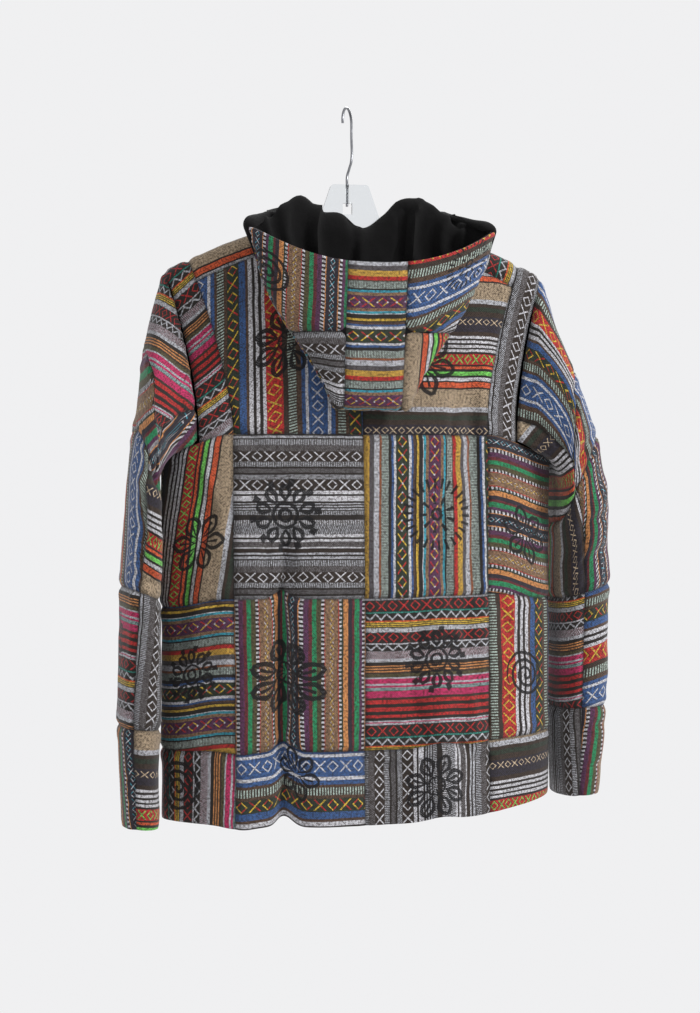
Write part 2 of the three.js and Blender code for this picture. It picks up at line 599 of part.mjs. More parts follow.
const STAND_ROWS = [0, 0.2, 0.5, 0.78, 1];
const ROLL_ROWS = [0.62, 0.8, 1]; // from the crest of the arch into the pouch
const POUCH_HEIGHTS = [-284, -320, -350, -366, -374];
const POUCH_SHARES = [0.7, 0.45, 0.2]; // of the way from the cross seam up to the top
const pouchHeights = (j, facing) => [
  ...POUCH_SHARES.map((k) => lerp(HOOD_CROSS_SEAM, pouchTop(j, facing), k)),
  ...POUCH_HEIGHTS,
];
const innerRows = [];
const standGrid = STAND_ROWS.map((q, i) => {
  return neck.map((point, c) => (i === 0 ? point : addPoint(stand(c - END, q))));
});
addCells(standGrid, (i, c) => (c < END ? "hood_neck_left" : "hood_neck_right"));

const inPouch = Array.from({ length: 2 * TIP + 1 }, (_, c) => c - TIP);
innerRows.push(inPouch.map((j) => standGrid.at(-1)[END + j]));
ROLL_ROWS.forEach((share) => innerRows.push(inPouch.map((j) => addPoint(arch(j, share)))));
const pouchRows = POUCH_SHARES.length + POUCH_HEIGHTS.length;
for (let i = 0; i < pouchRows; i += 1) {
  innerRows.push(inPouch.map((j) => addPoint(pouch(j, 1, pouchHeights(j, 1)[i]))));
}
innerRows.push(inPouch.map((j) => addPoint(pouch(j, 1, HOOD_SECTIONS[0].z))));
addCells(innerRows, (i, c) => (c < TIP ? "hood_neck_left" : "hood_neck_right"));

// The outer side goes up again from the bottom line and shares the side columns with the neck side
const firstPouchRow = ROLL_ROWS.length; // the row of the neck side's top
const outerRows = [innerRows.at(-1)];
for (let i = pouchRows; i >= 0; i -= 1) {
  const twin = innerRows[firstPouchRow + i];
  outerRows.push(
    inPouch.map((j, c) => {
      if (Math.abs(j) === TIP) return twin[c];
      return addPoint(pouch(j, -1, i === 0 ? pouchTop(j, -1) : pouchHeights(j, -1)[i - 1]));
    })
  );
}
const crossRow = pouchRows - (POUCH_SHARES.length + 1) + 1;
addCells(outerRows, (i, c) => {
  const j = c - TIP;
  if (j >= -STRIP_COLUMNS && j + 1 <= STRIP_COLUMNS) return "hood_centre_strip";
  return `hood_${j < 0 ? "left" : "right"}_${i < crossRow ? "lower" : "upper"}`;
});

// Outward direction of every point, and how far a wall has to reach at a bend to keep its thickness
function cellNormal({ corners }) {
  const [a, b, c, d] = corners.map((k) => points[k]);
  return c.clone().sub(a).cross(d.clone().sub(b));
}
const normals = points.map(() => new THREE.Vector3());
const unitNormals = cells.map((cell) => cellNormal(cell).normalize());
cells.forEach((cell) => cell.corners.forEach((k) => normals[k].add(cellNormal(cell))));
normals.forEach((n) => n.normalize());
const MITRE = 1.3;
const reach = points.map(() => ({ sum: 0, count: 0 }));
cells.forEach((cell, i) => {
  cell.corners.forEach((k) => {
    reach[k].sum += normals[k].dot(unitNormals[i]);
    reach[k].count += 1;
  });
});
const mitre = reach.map(({ sum, count }) => Math.min(MITRE, 1 / Math.max(0.1, sum / count)));

const edgeKey = (a, b) => (a < b ? `${a}-${b}` : `${b}-${a}`);
const edgesOf = ({ corners: c }) => c.map((from, i) => [from, c[(i + 1) % c.length]]);
const edgeUses = new Map();
const countEdges = (chosen, uses) => {
  for (const [a, b] of chosen.flatMap(edgesOf)) uses.set(edgeKey(a, b), (uses.get(edgeKey(a, b)) ?? 0) + 1);
};
countEdges(cells, edgeUses);

// Closed solid of some cells, between two distances outside the net (negative is inside it)
function clothSolid(chosen, outside, inside, seamStep = SEAM / 2) {
  const inPiece = new Map();
  countEdges(chosen, inPiece);
  const borders = [];
  borders.push(...chosen.flatMap(edgesOf).filter(([a, b]) => inPiece.get(edgeKey(a, b)) === 1));
  // towards the piece from each seam at a point
  const inward = new Map();
  for (const [a, b] of borders) {
    if (seamStep === 0 || (edgeUses.get(edgeKey(a, b)) ?? 0) < 2) continue;
    for (const k of [a, b]) {
      const way = normals[k].clone().cross(points[b].clone().sub(points[a])).normalize();
      inward.set(k, [...(inward.get(k) ?? []), way]);
    }
  }
  const shift = (k) => {
    const ways = inward.get(k) ?? [];
    if (ways.length === 0) return new THREE.Vector3();
    const sum = ways.reduce((total, way) => total.add(way), new THREE.Vector3());
    const along = ways.reduce((least, way) => Math.min(least, way.dot(sum) / sum.length()), 1);
    return sum.normalize().multiplyScalar(seamStep / Math.max(0.4, along));
  };
  const numbers = new Map();
  const positions = [];
  for (const k of new Set(chosen.flatMap(({ corners }) => corners))) {
    numbers.set(k, positions.length / 3);
    for (const distance of [outside, inside]) {
      const at = points[k].clone().addScaledVector(normals[k], distance * mitre[k]).add(shift(k));
      positions.push(at.x, at.y, at.z);
    }
  }
  const index = [];
  const face = (a, b, c, side) => index.push(a + side, b + side, c + side);
  for (const { corners } of chosen) {
    const [a, b, c, d] = corners.map((k) => numbers.get(k));
    const [first, second, third, fourth] = corners.map((k) => points[k]);
    const short = first.distanceTo(third) <= second.distanceTo(fourth);
    const pair = short ? [[a, b, c], [a, c, d]] : [[a, b, d], [b, c, d]];
    for (const [p, q, r] of pair) {
      face(p, q, r, 0);
      face(r, q, p, 1);
    }
  }
  for (const [from, to] of borders) {
    const [a, b] = [numbers.get(from), numbers.get(to)];
    index.push(a, a + 1, b, b, a + 1, b + 1);
  }
  const vertProperties = new Float32Array(positions);
  return new Manifold(new Mesh({ numProp: 3, vertProperties, triVerts: new Uint32Array(index) }));
}

// Materials
function slot(name, color, roughness, metalness = 0) {
  return new THREE.MeshStandardMaterial({ name, color, roughness, metalness });
}
const MATERIALS = {
  mono: slot("cloth_mono", 0x6e6a66, 0.95),
  blue: slot("cloth_blue", 0x3a5c91, 0.95),
  earth: slot("cloth_earth", 0x6b5138, 0.95),
  multi: slot("cloth_multi", 0x8c5537, 0.95),
  red: slot("cloth_red", 0x84283a, 0.95),
  beige: slot("cloth_beige", 0xaa967d, 0.95),
  fleece: slot("fleece_black", 0x121214, 1),
  tape: slot("zip_tape_black", 0x18181a, 0.9),
  clear: slot("clear_plastic", 0xe4ebee, 0.1),
  steel: slot("steel_bright", 0xb4b6ba, 0.3, 1),
};
MATERIALS.clear.transparent = true;
MATERIALS.clear.opacity = 0.35;

const FABRICS = {
  back_left_yoke: "blue",
  back_right_yoke: "beige",
  back_left_middle: "mono",
  back_right_middle: "multi",
  back_left_lower: "earth",
  back_right_lower: "red",
  back_left_hem: "blue",
  back_right_hem: "mono",
  left_side_middle: "beige",
  left_side_lower: "multi",
  left_side_hem: "red",
  right_side_middle: "earth",
  right_side_lower: "blue",
  right_side_hem: "beige",
  left_front_shoulder: "beige",
  left_front_chest: "mono",
  left_front_middle: "red",
  left_front_lower: "blue",
  left_front_hem: "earth",
  right_front_shoulder: "red",
  right_front_chest: "multi",
  right_front_middle: "blue",
  right_front_lower: "beige",
  right_front_hem: "multi",
  left_sleeve_strip: "red",
  left_sleeve_upper_outer: "red",
  left_sleeve_second_outer: "earth",
  left_sleeve_upper_inner: "earth",
  left_sleeve_elbow_outer: "blue",
  left_sleeve_elbow_inner: "beige",
  left_sleeve_forearm_outer: "red",
  left_sleeve_forearm_inner: "mono",
  left_sleeve_cuff_outer: "earth",
  left_sleeve_cuff_inner: "beige",
  right_sleeve_strip: "mono",
  right_sleeve_upper_outer: "blue",
  right_sleeve_second_outer: "blue",
  right_sleeve_upper_inner: "beige",
  right_sleeve_elbow_outer: "earth",
  right_sleeve_elbow_inner: "beige",
  right_sleeve_forearm_outer: "blue",
  right_sleeve_forearm_inner: "red",
  right_sleeve_cuff_outer: "earth",
  right_sleeve_cuff_inner: "mono",
  hood_centre_strip: "multi",
  hood_left_upper: "earth",
  hood_left_lower: "mono",
  hood_right_upper: "blue",
  hood_right_lower: "beige",
  hood_neck_left: "multi",
  hood_neck_right: "red",
};

const jacket = new THREE.Group();
jacket.name = "patchwork_jacket";
function solidGeometry(solid) {
  const mesh = solid.getMesh();
  const geometry = new THREE.BufferGeometry();
  geometry.setAttribute("position", new THREE.Float32BufferAttribute(Array.from(mesh.vertProperties), 3));
  geometry.setIndex(Array.from(mesh.triVerts));
  return geometry;
}
function add(name, geometry, material) {
  const mesh = new THREE.Mesh(geometry, material);
  mesh.name = name;
  jacket.add(mesh);
}

// The cloth pieces. Where a sharp bend would run one into the next, the first is trimmed by its neighbour.
const TRIM_GAP = 0.2;
const TOUCHING = 0.002; // cubic millimetres
const cloth = Object.entries(FABRICS).map(([name, fabric]) => {
  const chosen = cells.filter((cell) => cell.piece === name);
  const inSleeve = name.includes("_sleeve_") && !name.endsWith("strip");
  const wall = name.startsWith("hood") ? HOOD_WALL : inSleeve ? SLEEVE_WALL : WALL;
  const grown = () => clothSolid(chosen, TRIM_GAP, -wall - TRIM_GAP, SEAM / 2 - TRIM_GAP);
  return { name, fabric, solid: clothSolid(chosen, 0, -wall), grown };
});
// The lining is one piece behind all of the hood but the lowest row at the neck
const neckCells = new Set(standGrid[0]);
const lined = cells.filter(({ piece, corners }) => {
  return piece.startsWith("hood") && !corners.some((k) => neckCells.has(k));
});
const liningStart = -HOOD_WALL - SEAM;
const liningSolid = clothSolid(lined, liningStart, liningStart - LINING_WALL, 0);
cloth.unshift({ name: "hood_lining", fabric: "fleece", solid: liningSolid });
const largest = (solid) => solid.decompose().sort((a, b) => b.volume() - a.volume())[0];
cloth.forEach((piece, i) => {
  for (const other of cloth.slice(i + 1)) {
    if (piece.solid.intersect(other.solid).volume() < TOUCHING) continue;
    piece.solid = largest(piece.solid.subtract(other.grown()).subtract(other.solid));
  }
});
cloth.forEach(({ name, fabric, solid }) => add(name, solidGeometry(solid), MATERIALS[fabric]));

// Zip tapes, behind the edges of the fronts
const TAPE_COLUMNS = [1.5, 5, 1.5 + TAPE_WIDTH];
const aboveArms = steps(1, 0, CHEST_CELLS).slice(1);
const tapeRows = [...bodyRows.map(({ level }) => ({ level })), ...aboveArms.map((k) => ({ k }))];
for (const sign of [-1, 1]) {
  const first = cells.length;
  const xs = sign > 0 ? [...TAPE_COLUMNS].reverse() : TAPE_COLUMNS;
  const grid = tapeRows.map(({ level, k }) =>
    xs.map((x) => {
      if (level !== undefined) return addPoint(lower(frontAngle(sign, x), level));
      const t = tOf(sign * x);
      return addPoint(upper(t, lerp((YOKE_FRONT + NECK_DROP + 3) / ridgeHeight(t), 1, k)));
    })
  );
  addCells(grid, () => `${sided(sign)}_zip_tape`);
  const added = cells.slice(first);
  for (const k of grid.flat()) {
    normals[k] = new THREE.Vector3();
    mitre[k] = 1;
  }
  added.forEach((cell) => cell.corners.forEach((k) => normals[k].add(cellNormal(cell))));
  grid.flat().forEach((k) => normals[k].normalize());
  const front = -WALL - SEAM - 0.1;
  const tape = clothSolid(added, front, front - TAPE_WALL, 0);
  add(`${sided(sign)}_zip_tape`, solidGeometry(tape), MATERIALS.tape);
}

// Slider and pull tab lie on the zip, whose front leans out by a few degrees
const sliderDown = (RIDGE_Z - SLIDER.z) / (RIDGE_Z - UNDERARM_Z);
const zipAt = (down) => {
  const at = upper(0, down);
  return at.setX(JACKET_X);
};
const sliderPlace = zipAt(sliderDown);
const zipWay = zipAt(sliderDown - 0.03).sub(zipAt(sliderDown + 0.03)).normalize();
const lean = Math.atan2(zipWay.y, zipWay.z);
const TAPE_FACE = -WALL - SEAM - 0.1; // the tapes' face, from the cloth's outer face
const placeOnZip = (geometry) =>
  geometry.rotateX(-lean).translate(sliderPlace.x, sliderPlace.y, sliderPlace.z);
// in the slider's own frame +Y points away from the cloth and +Z up along the zip
const sliderBase = TAPE_FACE + SEAM;
const roundedPlate = (width, height, thickness, corner) => {
  const core = CrossSection.square([width - 2 * corner, height - 2 * corner], true);
  const outline = core.offset(corner, "Round", 2, 24);
  return Manifold.extrude(outline, thickness).rotate([90, 0, 0]).translate([0, thickness, 0]);
};
const pinY = sliderBase + SLIDER.thickness + LUG.stand;
const pin = Manifold.cylinder(PULL.width + 2 * PULL.clear + 2 * LUG.width, PIN_RADIUS, PIN_RADIUS, 16, true)
  .rotate([0, 90, 0])
  .translate([0, pinY, 0]);
const lugs = [-1, 1].map((sign) => {
  const x = sign * (PULL.width / 2 + PULL.clear + LUG.width / 2);
  const round = Manifold.cylinder(LUG.width, LUG.radius, LUG.radius, 20, true).rotate([0, 90, 0]);
  const leg = Manifold.cube([LUG.width, LUG.stand + 1, 2 * LUG.radius], true);
  const foot = leg.translate([0, -(LUG.stand + 1) / 2, 0]);
  return round.add(foot).translate([x, pinY, 0]);
});
const sliderSolid = roundedPlate(SLIDER.width, SLIDER.height, SLIDER.thickness, 2.4)
  .translate([0, sliderBase, 0])
  .add(pin)
  .add(lugs[0])
  .add(lugs[1]);
add("zip_slider", placeOnZip(solidGeometry(sliderSolid)), MATERIALS.steel);

const tab = roundedPlate(PULL.width, PULL.length, PULL.thickness, PULL.width / 2 - 0.1)
  .translate([0, pinY - PULL.thickness / 2, -(PULL.length / 2 - PULL.eye - 1.1)]);
const eyeRing = Manifold.cylinder(PULL.width, PULL.eye + 1.1, PULL.eye + 1.1, 24, true).rotate([0, 90, 0]);
const eyeBore = Manifold.cylinder(PULL.width + 2, PULL.eye, PULL.eye, 20, true).rotate([0, 90, 0]);
const pullSolid = tab.add(eyeRing.translate([0, pinY, 0])).subtract(eyeBore.translate([0, pinY, 0]));
add("zip_pull_tab", placeOnZip(solidGeometry(pullSolid)), MATERIALS.steel);

// Hanger: a flat plate in the middle and two arms that carry the shoulders
function armTop(x) {
  const away = Math.abs(x - JACKET_X);
  const nearNeck = ARM.neckBelow * (1 - smooth((away - 80) / 40));
  return ridgeZ(away) - ARM.below - nearNeck;
}
function armSolid() {
  const right = [30, 60, 85, 100, 120, 140, 160, 178, ARM.reach];
  const stations = [...right.map((x) => -x).reverse(), 0, ...right];
  const SIDES = 12;
  const vertices = [];
  const triangles = [];
  stations.forEach((away) => {
    const x = JACKET_X + away;
    const share = Math.abs(away) / ARM.reach;
    const end = share === 1 ? 0.6 : 1;
    const height = lerp(ARM.height, ARM.tipHeight, share) * end;
    const half = ARM.halfThickness * end * lerp(0.62, 1, smooth(share * 2));
    const middle = armTop(x) - lerp(ARM.height, ARM.tipHeight, share) / 2;
    for (let i = 0; i < SIDES; i += 1) {
      const a = (2 * Math.PI * i) / SIDES;
      vertices.push(x, half * Math.cos(a), middle + (height / 2) * Math.sin(a));
    }
  });
  const at = (i, k) => i * SIDES + (k % SIDES);
  for (let i = 0; i + 1 < stations.length; i += 1) {
    for (let k = 0; k < SIDES; k += 1) {
      triangles.push(at(i, k), at(i, k + 1), at(i + 1, k), at(i + 1, k), at(i, k + 1), at(i + 1, k + 1));
    }
  }
  for (let k = 1; k + 1 < SIDES; k += 1) {
    triangles.push(at(0, 0), at(0, k + 1), at(0, k));
    triangles.push(at(stations.length - 1, 0), at(stations.length - 1, k), at(stations.length - 1, k + 1));
  }
  const vertProperties = new Float32Array(vertices);
  return new Manifold(new Mesh({ numProp: 3, vertProperties, triVerts: new Uint32Array(triangles) }));
}
const plateOutline = new CrossSection([
  [
    [PLATE.x - PLATE.halfFoot, PLATE.foot],
    [PLATE.x + PLATE.halfFoot, PLATE.foot],
    [PLATE.x + PLATE.halfTop, PLATE.top],
    [PLATE.x - PLATE.halfTop, PLATE.top],
  ],
]);
const plateShape = plateOutline.offset(-PLATE.corner, "Round").offset(PLATE.corner, "Round", 2, 24);
const plate = Manifold.extrude(plateShape, PLATE.thickness)
  .translate([0, 0, -PLATE.thickness / 2])
  .rotate([90, 0, 0]);
const boreLength = PLATE.top - WINDOW.top + 2;
const bore = Manifold.cylinder(boreLength, PLATE.bore, PLATE.bore, 20).translate([0, 0, WINDOW.top - 1]);
const openingSize = [2 * WINDOW.halfWidth, PLATE.thickness + 40, WINDOW.top - WINDOW.bottom];
const opening = Manifold.cube(openingSize, true).translate([
  0,
  0,
  (WINDOW.top + WINDOW.bottom) / 2,
]);
add("hanger_body", solidGeometry(armSolid().add(plate).subtract(bore).subtract(opening)), MATERIALS.clear);

// Hook: round wire over the rail, down the far side, bent back to the middle, held in the plate by its head
function hookWire() {
  const flat = [];
  for (let a = -12; a <= 180; a += 16) {
    flat.push([HOOK_RADIUS * Math.cos(a * DEG), HOOK_RADIUS * Math.sin(a * DEG) - HOOK_RADIUS + WIRE_RADIUS]);
  }
  flat.push([-HOOK_RADIUS, -HOOK_RADIUS - 12], [-HOOK_RADIUS, SHANK.bends]);
  flat.push([-HOOK_RADIUS * 0.5, (SHANK.bends + SHANK.straight) / 2]);
  flat.push([0, SHANK.straight], [0, SHANK.straight - 10], [0, SHANK.head]);
  const path = new THREE.CatmullRomCurve3(
    flat.map(([u, z]) => new THREE.Vector3(u * Math.cos(HOOK_TURN), u * Math.sin(HOOK_TURN), z)),
    false,
    "centripetal"
  );
  const STATIONS = 48;
  const SIDES = 8;
  const frames = path.computeFrenetFrames(STATIONS, false);
  const vertices = [];
  for (let i = 0; i <= STATIONS; i += 1) {
    const at = path.getPointAt(i / STATIONS);
    for (let k = 0; k < SIDES; k += 1) {
      const a = (2 * Math.PI * k) / SIDES;
      const p = at
        .clone()
        .addScaledVector(frames.normals[i], WIRE_RADIUS * Math.cos(a))
        .addScaledVector(frames.binormals[i], WIRE_RADIUS * Math.sin(a));
      vertices.push(p.x, p.y, p.z);
    }
  }
  const triangles = [];
  const at = (i, k) => i * SIDES + (k % SIDES);
  for (let i = 0; i < STATIONS; i += 1) {
    for (let k = 0; k < SIDES; k += 1) {
      triangles.push(at(i, k), at(i, k + 1), at(i + 1, k), at(i + 1, k), at(i, k + 1), at(i + 1, k + 1));
    }
  }
  for (let k = 1; k + 1 < SIDES; k += 1) {
    triangles.push(at(0, 0), at(0, k + 1), at(0, k), at(STATIONS, 0), at(STATIONS, k), at(STATIONS, k + 1));
  }
  const vertProperties = new Float32Array(vertices);
  return new Manifold(new Mesh({ numProp: 3, vertProperties, triVerts: new Uint32Array(triangles) }));
}
const headDisc = Manifold.cylinder(HEAD.height, HEAD.radius, HEAD.radius, 20);
const head = headDisc.translate([0, 0, SHANK.head - HEAD.height / 2]);
add("hanger_hook", solidGeometry(hookWire().add(head)), MATERIALS.steel);

export default jacket;
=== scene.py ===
"""A hooded patchwork jacket on a clear hanger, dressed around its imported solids.

The solids give every place. Lengths are millimetres while a piece is shaped, and its mesh is in metres.
The jacket's back faces -Y, and +X is to the right for someone who looks at that back.
"""
import math

import bpy
import numpy as np
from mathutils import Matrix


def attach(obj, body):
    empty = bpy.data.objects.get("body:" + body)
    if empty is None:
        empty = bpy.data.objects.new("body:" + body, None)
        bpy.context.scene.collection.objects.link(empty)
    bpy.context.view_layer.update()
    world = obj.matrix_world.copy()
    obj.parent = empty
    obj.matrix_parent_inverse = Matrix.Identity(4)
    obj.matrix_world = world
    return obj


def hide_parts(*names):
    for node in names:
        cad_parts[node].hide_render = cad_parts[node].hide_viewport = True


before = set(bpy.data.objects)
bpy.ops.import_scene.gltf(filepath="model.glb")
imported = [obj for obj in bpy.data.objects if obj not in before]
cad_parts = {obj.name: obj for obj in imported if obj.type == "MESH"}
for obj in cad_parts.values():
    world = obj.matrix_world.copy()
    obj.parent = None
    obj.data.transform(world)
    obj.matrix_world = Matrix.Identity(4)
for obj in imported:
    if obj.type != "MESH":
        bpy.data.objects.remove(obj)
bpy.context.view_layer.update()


# Handwoven cotton: thick yarns of two directions that show as small bumps, each a little lighter or darker
# than the next. Its stripes hold woven marks, such as crosses with diamonds, ticks and zigzags. The yarns,
# the marks and each cloth's stripes are node groups, so that every patch of that cloth takes the same ones.
YARN = 0.0014
ZIGZAG = 0.0068
SPECK = 0.0021
BAND_EDGE = 0.05  # plain cloth in mm on each side of a marked band
FUZZ, SLUBS, WORN = 400.0, 110.0, 22.0  # scales of the fibres' fuzz, of thick places in a yarn and of wear
CROSS = {"tall": 0.84, "arm": 0.15}  # its height and half its arm's width, as shares of half the band
DIAMOND = {"tall": 0.78, "line": 0.125}
KINDS = {"plain": 0.0, "crosses": 0.2, "ticks": 0.4, "zigzag": 0.6, "specks": 0.8, "lines": 1.0}


def dye(red, green, blue):
    """An sRGB colour of 0 to 255 as a linear colour."""
    def linear(level):
        share = level / 255
        return share / 12.92 if share <= 0.04045 else ((share + 0.055) / 1.055) ** 2.4

    return (linear(red), linear(green), linear(blue), 1)


class Wiring:
    """Adds nodes to one tree. A value is a number, a colour or another node's socket."""

    def __init__(self, tree):
        self.tree = tree

    def add(self, kind, **settings):
        node = self.tree.nodes.new(kind)
        for name, value in settings.items():
            setattr(node, name, value)
        return node

    def join(self, value, socket):
        if isinstance(value, bpy.types.NodeSocket):
            self.tree.links.new(value, socket)
        else:
            socket.default_value = value

    def feed(self, sockets, **values):
        """Joins each value to the socket of its name, in which _ stands for a space."""
        for name, value in values.items():
            self.join(value, sockets[name.replace("_", " ")])

    def math(self, operation, *values, clamp=False):
        node = self.add("ShaderNodeMath", operation=operation, use_clamp=clamp)
        for value, socket in zip(values, node.inputs):
            self.join(value, socket)
        return node.outputs[0]

    def times(self, first, second, clamp=False):
        return self.math("MULTIPLY", first, second, clamp=clamp)

    def plus(self, first, second):
        return self.math("ADD", first, second)

    def minus(self, first, second):
        return self.math("SUBTRACT", first, second)

    def divided(self, first, second):
        return self.math("DIVIDE", first, second)

    def scaled(self, value, scale, shift, clamp=False):
        return self.math("MULTIPLY_ADD", value, scale, shift, clamp=clamp)

    def fraction(self, value):
        return self.math("FRACT", value)

    def below(self, value, limit):
        """1 where value is less than limit."""
        return self.math("LESS_THAN", value, limit)

    def within(self, value, middle, half):
        """1 where value lies no further than half from middle."""
        return self.math("COMPARE", value, middle, half)

    def mix(self, share, first, second, blend="MIX"):
        node = self.add("ShaderNodeMix", data_type="RGBA", blend_type=blend)
        for value, number in ((share, 0), (first, 6), (second, 7)):
            self.join(value, node.inputs[number])
        return node.outputs[2]

    def vector(self, x, y):
        node = self.add("ShaderNodeCombineXYZ")
        self.feed(node.inputs, X=x, Y=y)
        return node.outputs[0]

    def noise(self, vector, scale, detail=2.0):
        node = self.add("ShaderNodeTexNoise")
        self.feed(node.inputs, Vector=vector, Scale=scale, Detail=detail)
        return node.outputs["Fac"]

    def ramp(self, place, stops, interpolation="CONSTANT"):
        """A colour or grey for each stretch of 0 to 1. stops are (where it begins, colour)."""
        node = self.add("ShaderNodeValToRGB")
        node.color_ramp.interpolation = interpolation
        elements = node.color_ramp.elements
        elements.remove(elements[1])
        for i, (where, colour) in enumerate(stops):
            element = elements[0] if i == 0 else elements.new(where)
            element.position = where
            element.color = colour
        self.join(place, node.inputs[0])
        return node.outputs[0]

    def group(self, tree, **values):
        node = self.add("ShaderNodeGroup", node_tree=tree)
        self.feed(node.inputs, **values)
        return node.outputs

    def on_patch(self, layer):
        """A place on a patch, in metres: the vector and its two parts."""
        place = self.add("ShaderNodeUVMap", uv_map=layer).outputs[0]
        parts = self.add("ShaderNodeSeparateXYZ")
        self.join(place, parts.inputs[0])
        return place, parts.outputs[0], parts.outputs[1]

    def bump(self, height, strength, distance):
        node = self.add("ShaderNodeBump")
        self.feed(node.inputs, Height=height, Strength=strength, Distance=distance)
        return node.outputs[0]


def new_group(name, takes, gives):
    """An empty group with named sockets: its tree, its wiring, what it is given and what it makes."""
    tree = bpy.data.node_groups.new(name, "ShaderNodeTree")
    for in_out, labels in (("INPUT", takes), ("OUTPUT", gives)):
        for label in labels:
            kind = "NodeSocketColor" if label == "Color" else "NodeSocketFloat"
            tree.interface.new_socket(label, in_out=in_out, socket_type=kind)
    w = Wiring(tree)
    return tree, w, w.add("NodeGroupInput").outputs, w.add("NodeGroupOutput").inputs


def yarn_group():
    """Height of the yarns, the share of each point that lies out of the painted shade in the hollows between
    them, and each yarn's own lighter or darker tone.
    """
    tree, w, given, made = new_group("woven_yarns", ["Across", "Along"], ["Height", "Cover", "Shade"])
    turns = math.pi / YARN
    over = w.math("SINE", w.times(given["Across"], turns))
    under = w.math("SINE", w.times(given["Along"], turns))
    bumps = w.scaled(w.times(over, under), 0.5, 0.5)
    place = w.vector(given["Across"], given["Along"])
    fuzz = w.noise(place, FUZZ, 3.0)
    slubs = w.noise(w.vector(w.times(given["Across"], 7.0), given["Along"]), SLUBS)
    # Painted shade: where this share is low, the cloth takes the darker colour of a shaded hollow between the
    # yarns.
    unshaded_share = w.plus(w.times(bumps, 0.75), w.scaled(fuzz, 4.0, -1.75))
    w.feed(
        made,
        Height=w.scaled(fuzz, 0.6, w.times(bumps, 0.75)),
        Cover=w.times(unshaded_share, 1.0, clamp=True),
        Shade=w.plus(w.scaled(slubs, 0.8, 0.15), w.times(w.noise(place, WORN), 0.4)),
    )
    return tree


def marks_group():
    """The woven marks of one band. Across is 0 to 1 over the band, and lengths along it are in metres."""
    takes = ["Across", "Along", "Kind", "Cross Length", "Tick Length"]
    tree, w, given, made = new_group("woven_marks", takes, ["Mark", "Second", "Tip"])
    across = w.scaled(given["Across"], 2.0, -1.0)
    cell = w.divided(given["Along"], given["Cross Length"])
    along = w.scaled(w.fraction(cell), 2.0, -1.0)
    height, reach = w.math("ABSOLUTE", across), w.math("ABSOLUTE", along)
    odd = w.math("FLOORED_MODULO", w.math("FLOOR", cell), 2.0)
    even = w.minus(1.0, odd)
    cross = w.times(w.within(height, reach, CROSS["arm"]), w.below(height, CROSS["tall"]))
    diamond = w.within(w.plus(height, reach), DIAMOND["tall"], DIAMOND["line"])
    wave = w.scaled(w.math("PINGPONG", given["Along"], ZIGZAG), 1.5 / ZIGZAG, -0.75)
    row = w.math("FLOOR", w.times(given["Across"], 4.0))
    speck = w.scaled(row, 0.5, w.divided(given["Along"], SPECK))
    shapes = {
        "crosses": w.plus(w.times(cross, odd), w.times(diamond, even)),
        "ticks": w.below(w.fraction(w.divided(given["Along"], given["Tick Length"])), 0.5),
        "zigzag": w.within(across, wave, 0.3),
        "specks": w.below(w.fraction(speck), 0.5),
        "lines": w.below(w.fraction(w.times(given["Across"], 3.0)), 0.5),
    }
    kind_is = {kind: w.within(given["Kind"], KINDS[kind], 0.05) for kind in shapes}
    total = 0.0
    for kind, shape in shapes.items():
        total = w.scaled(kind_is[kind], shape, total)
    middle = w.below(w.plus(height, reach), 0.24)
    ends = w.times(w.below(height, 0.2), w.within(reach, DIAMOND["tall"], 0.18))
    tips = w.plus(w.times(middle, odd), w.times(ends, even))
    w.feed(
        made,
        Mark=w.math("MINIMUM", total, 1.0),
        Second=w.math("GREATER_THAN", w.times(across, along), 0.0),
        Tip=w.times(tips, kind_is["crosses"]),
    )
    return tree


YARNS = yarn_group()
MARKS = marks_group()


def striped_cloth(name, cross, tick, bands):
    """One cloth's stripes. cross and tick are the lengths of its woven marks. A band is its width in
    millimetres and its ground, and if it has marks also their kind, two colours and their tips' colour."""
    tree, w, given, made = new_group(f"stripes_{name}", ["Across", "Along"], ["Color", "Mark"])
    repeat = sum(band[0] for band in bands)
    here = w.vector(given["Across"], given["Along"])
    drift = w.scaled(w.noise(here, 28.0), 0.0024, -0.0012)
    jag = w.scaled(w.noise(here, 1400.0, 0.0), 0.0009, -0.00045)
    across = w.plus(given["Across"], w.plus(drift, jag))
    place = w.fraction(w.divided(across, repeat / 1000))
    stops = {"ground": [], "first": [], "second": [], "tip": [], "kind": []}
    edges = []
    start = 0
    for width, ground, *mark in bands:
        kind, *colours = mark or ["plain"]
        first, second, tip = (colours + colours[:1] * 2 or [ground] * 3)[:3]
        grey = (KINDS[kind],) * 3 + (1,)
        for key, value in zip(stops, (ground, first, second, tip, grey)):
            if not stops[key] or stops[key][-1][1] != value:
                stops[key].append((start / repeat, value))
        if mark:
            edges.append(((start + BAND_EDGE) / repeat, (0, 0, 0, 1)))
            edges.append(((start + width - BAND_EDGE) / repeat, (1, 1, 1, 1)))
        start += width
    over_band = w.ramp(place, edges, "LINEAR")
    ground, first, second, tip, kind = [w.ramp(place, values) for values in stops.values()]
    marks = w.group(MARKS, Across=over_band, Along=given["Along"], Kind=kind, Cross_Length=cross / 1000,
                    Tick_Length=tick / 1000)
    colour = w.mix(marks["Tip"], w.mix(marks["Second"], first, second), tip)
    w.feed(made, Color=w.mix(marks["Mark"], ground, colour), Mark=marks["Mark"])
    return tree


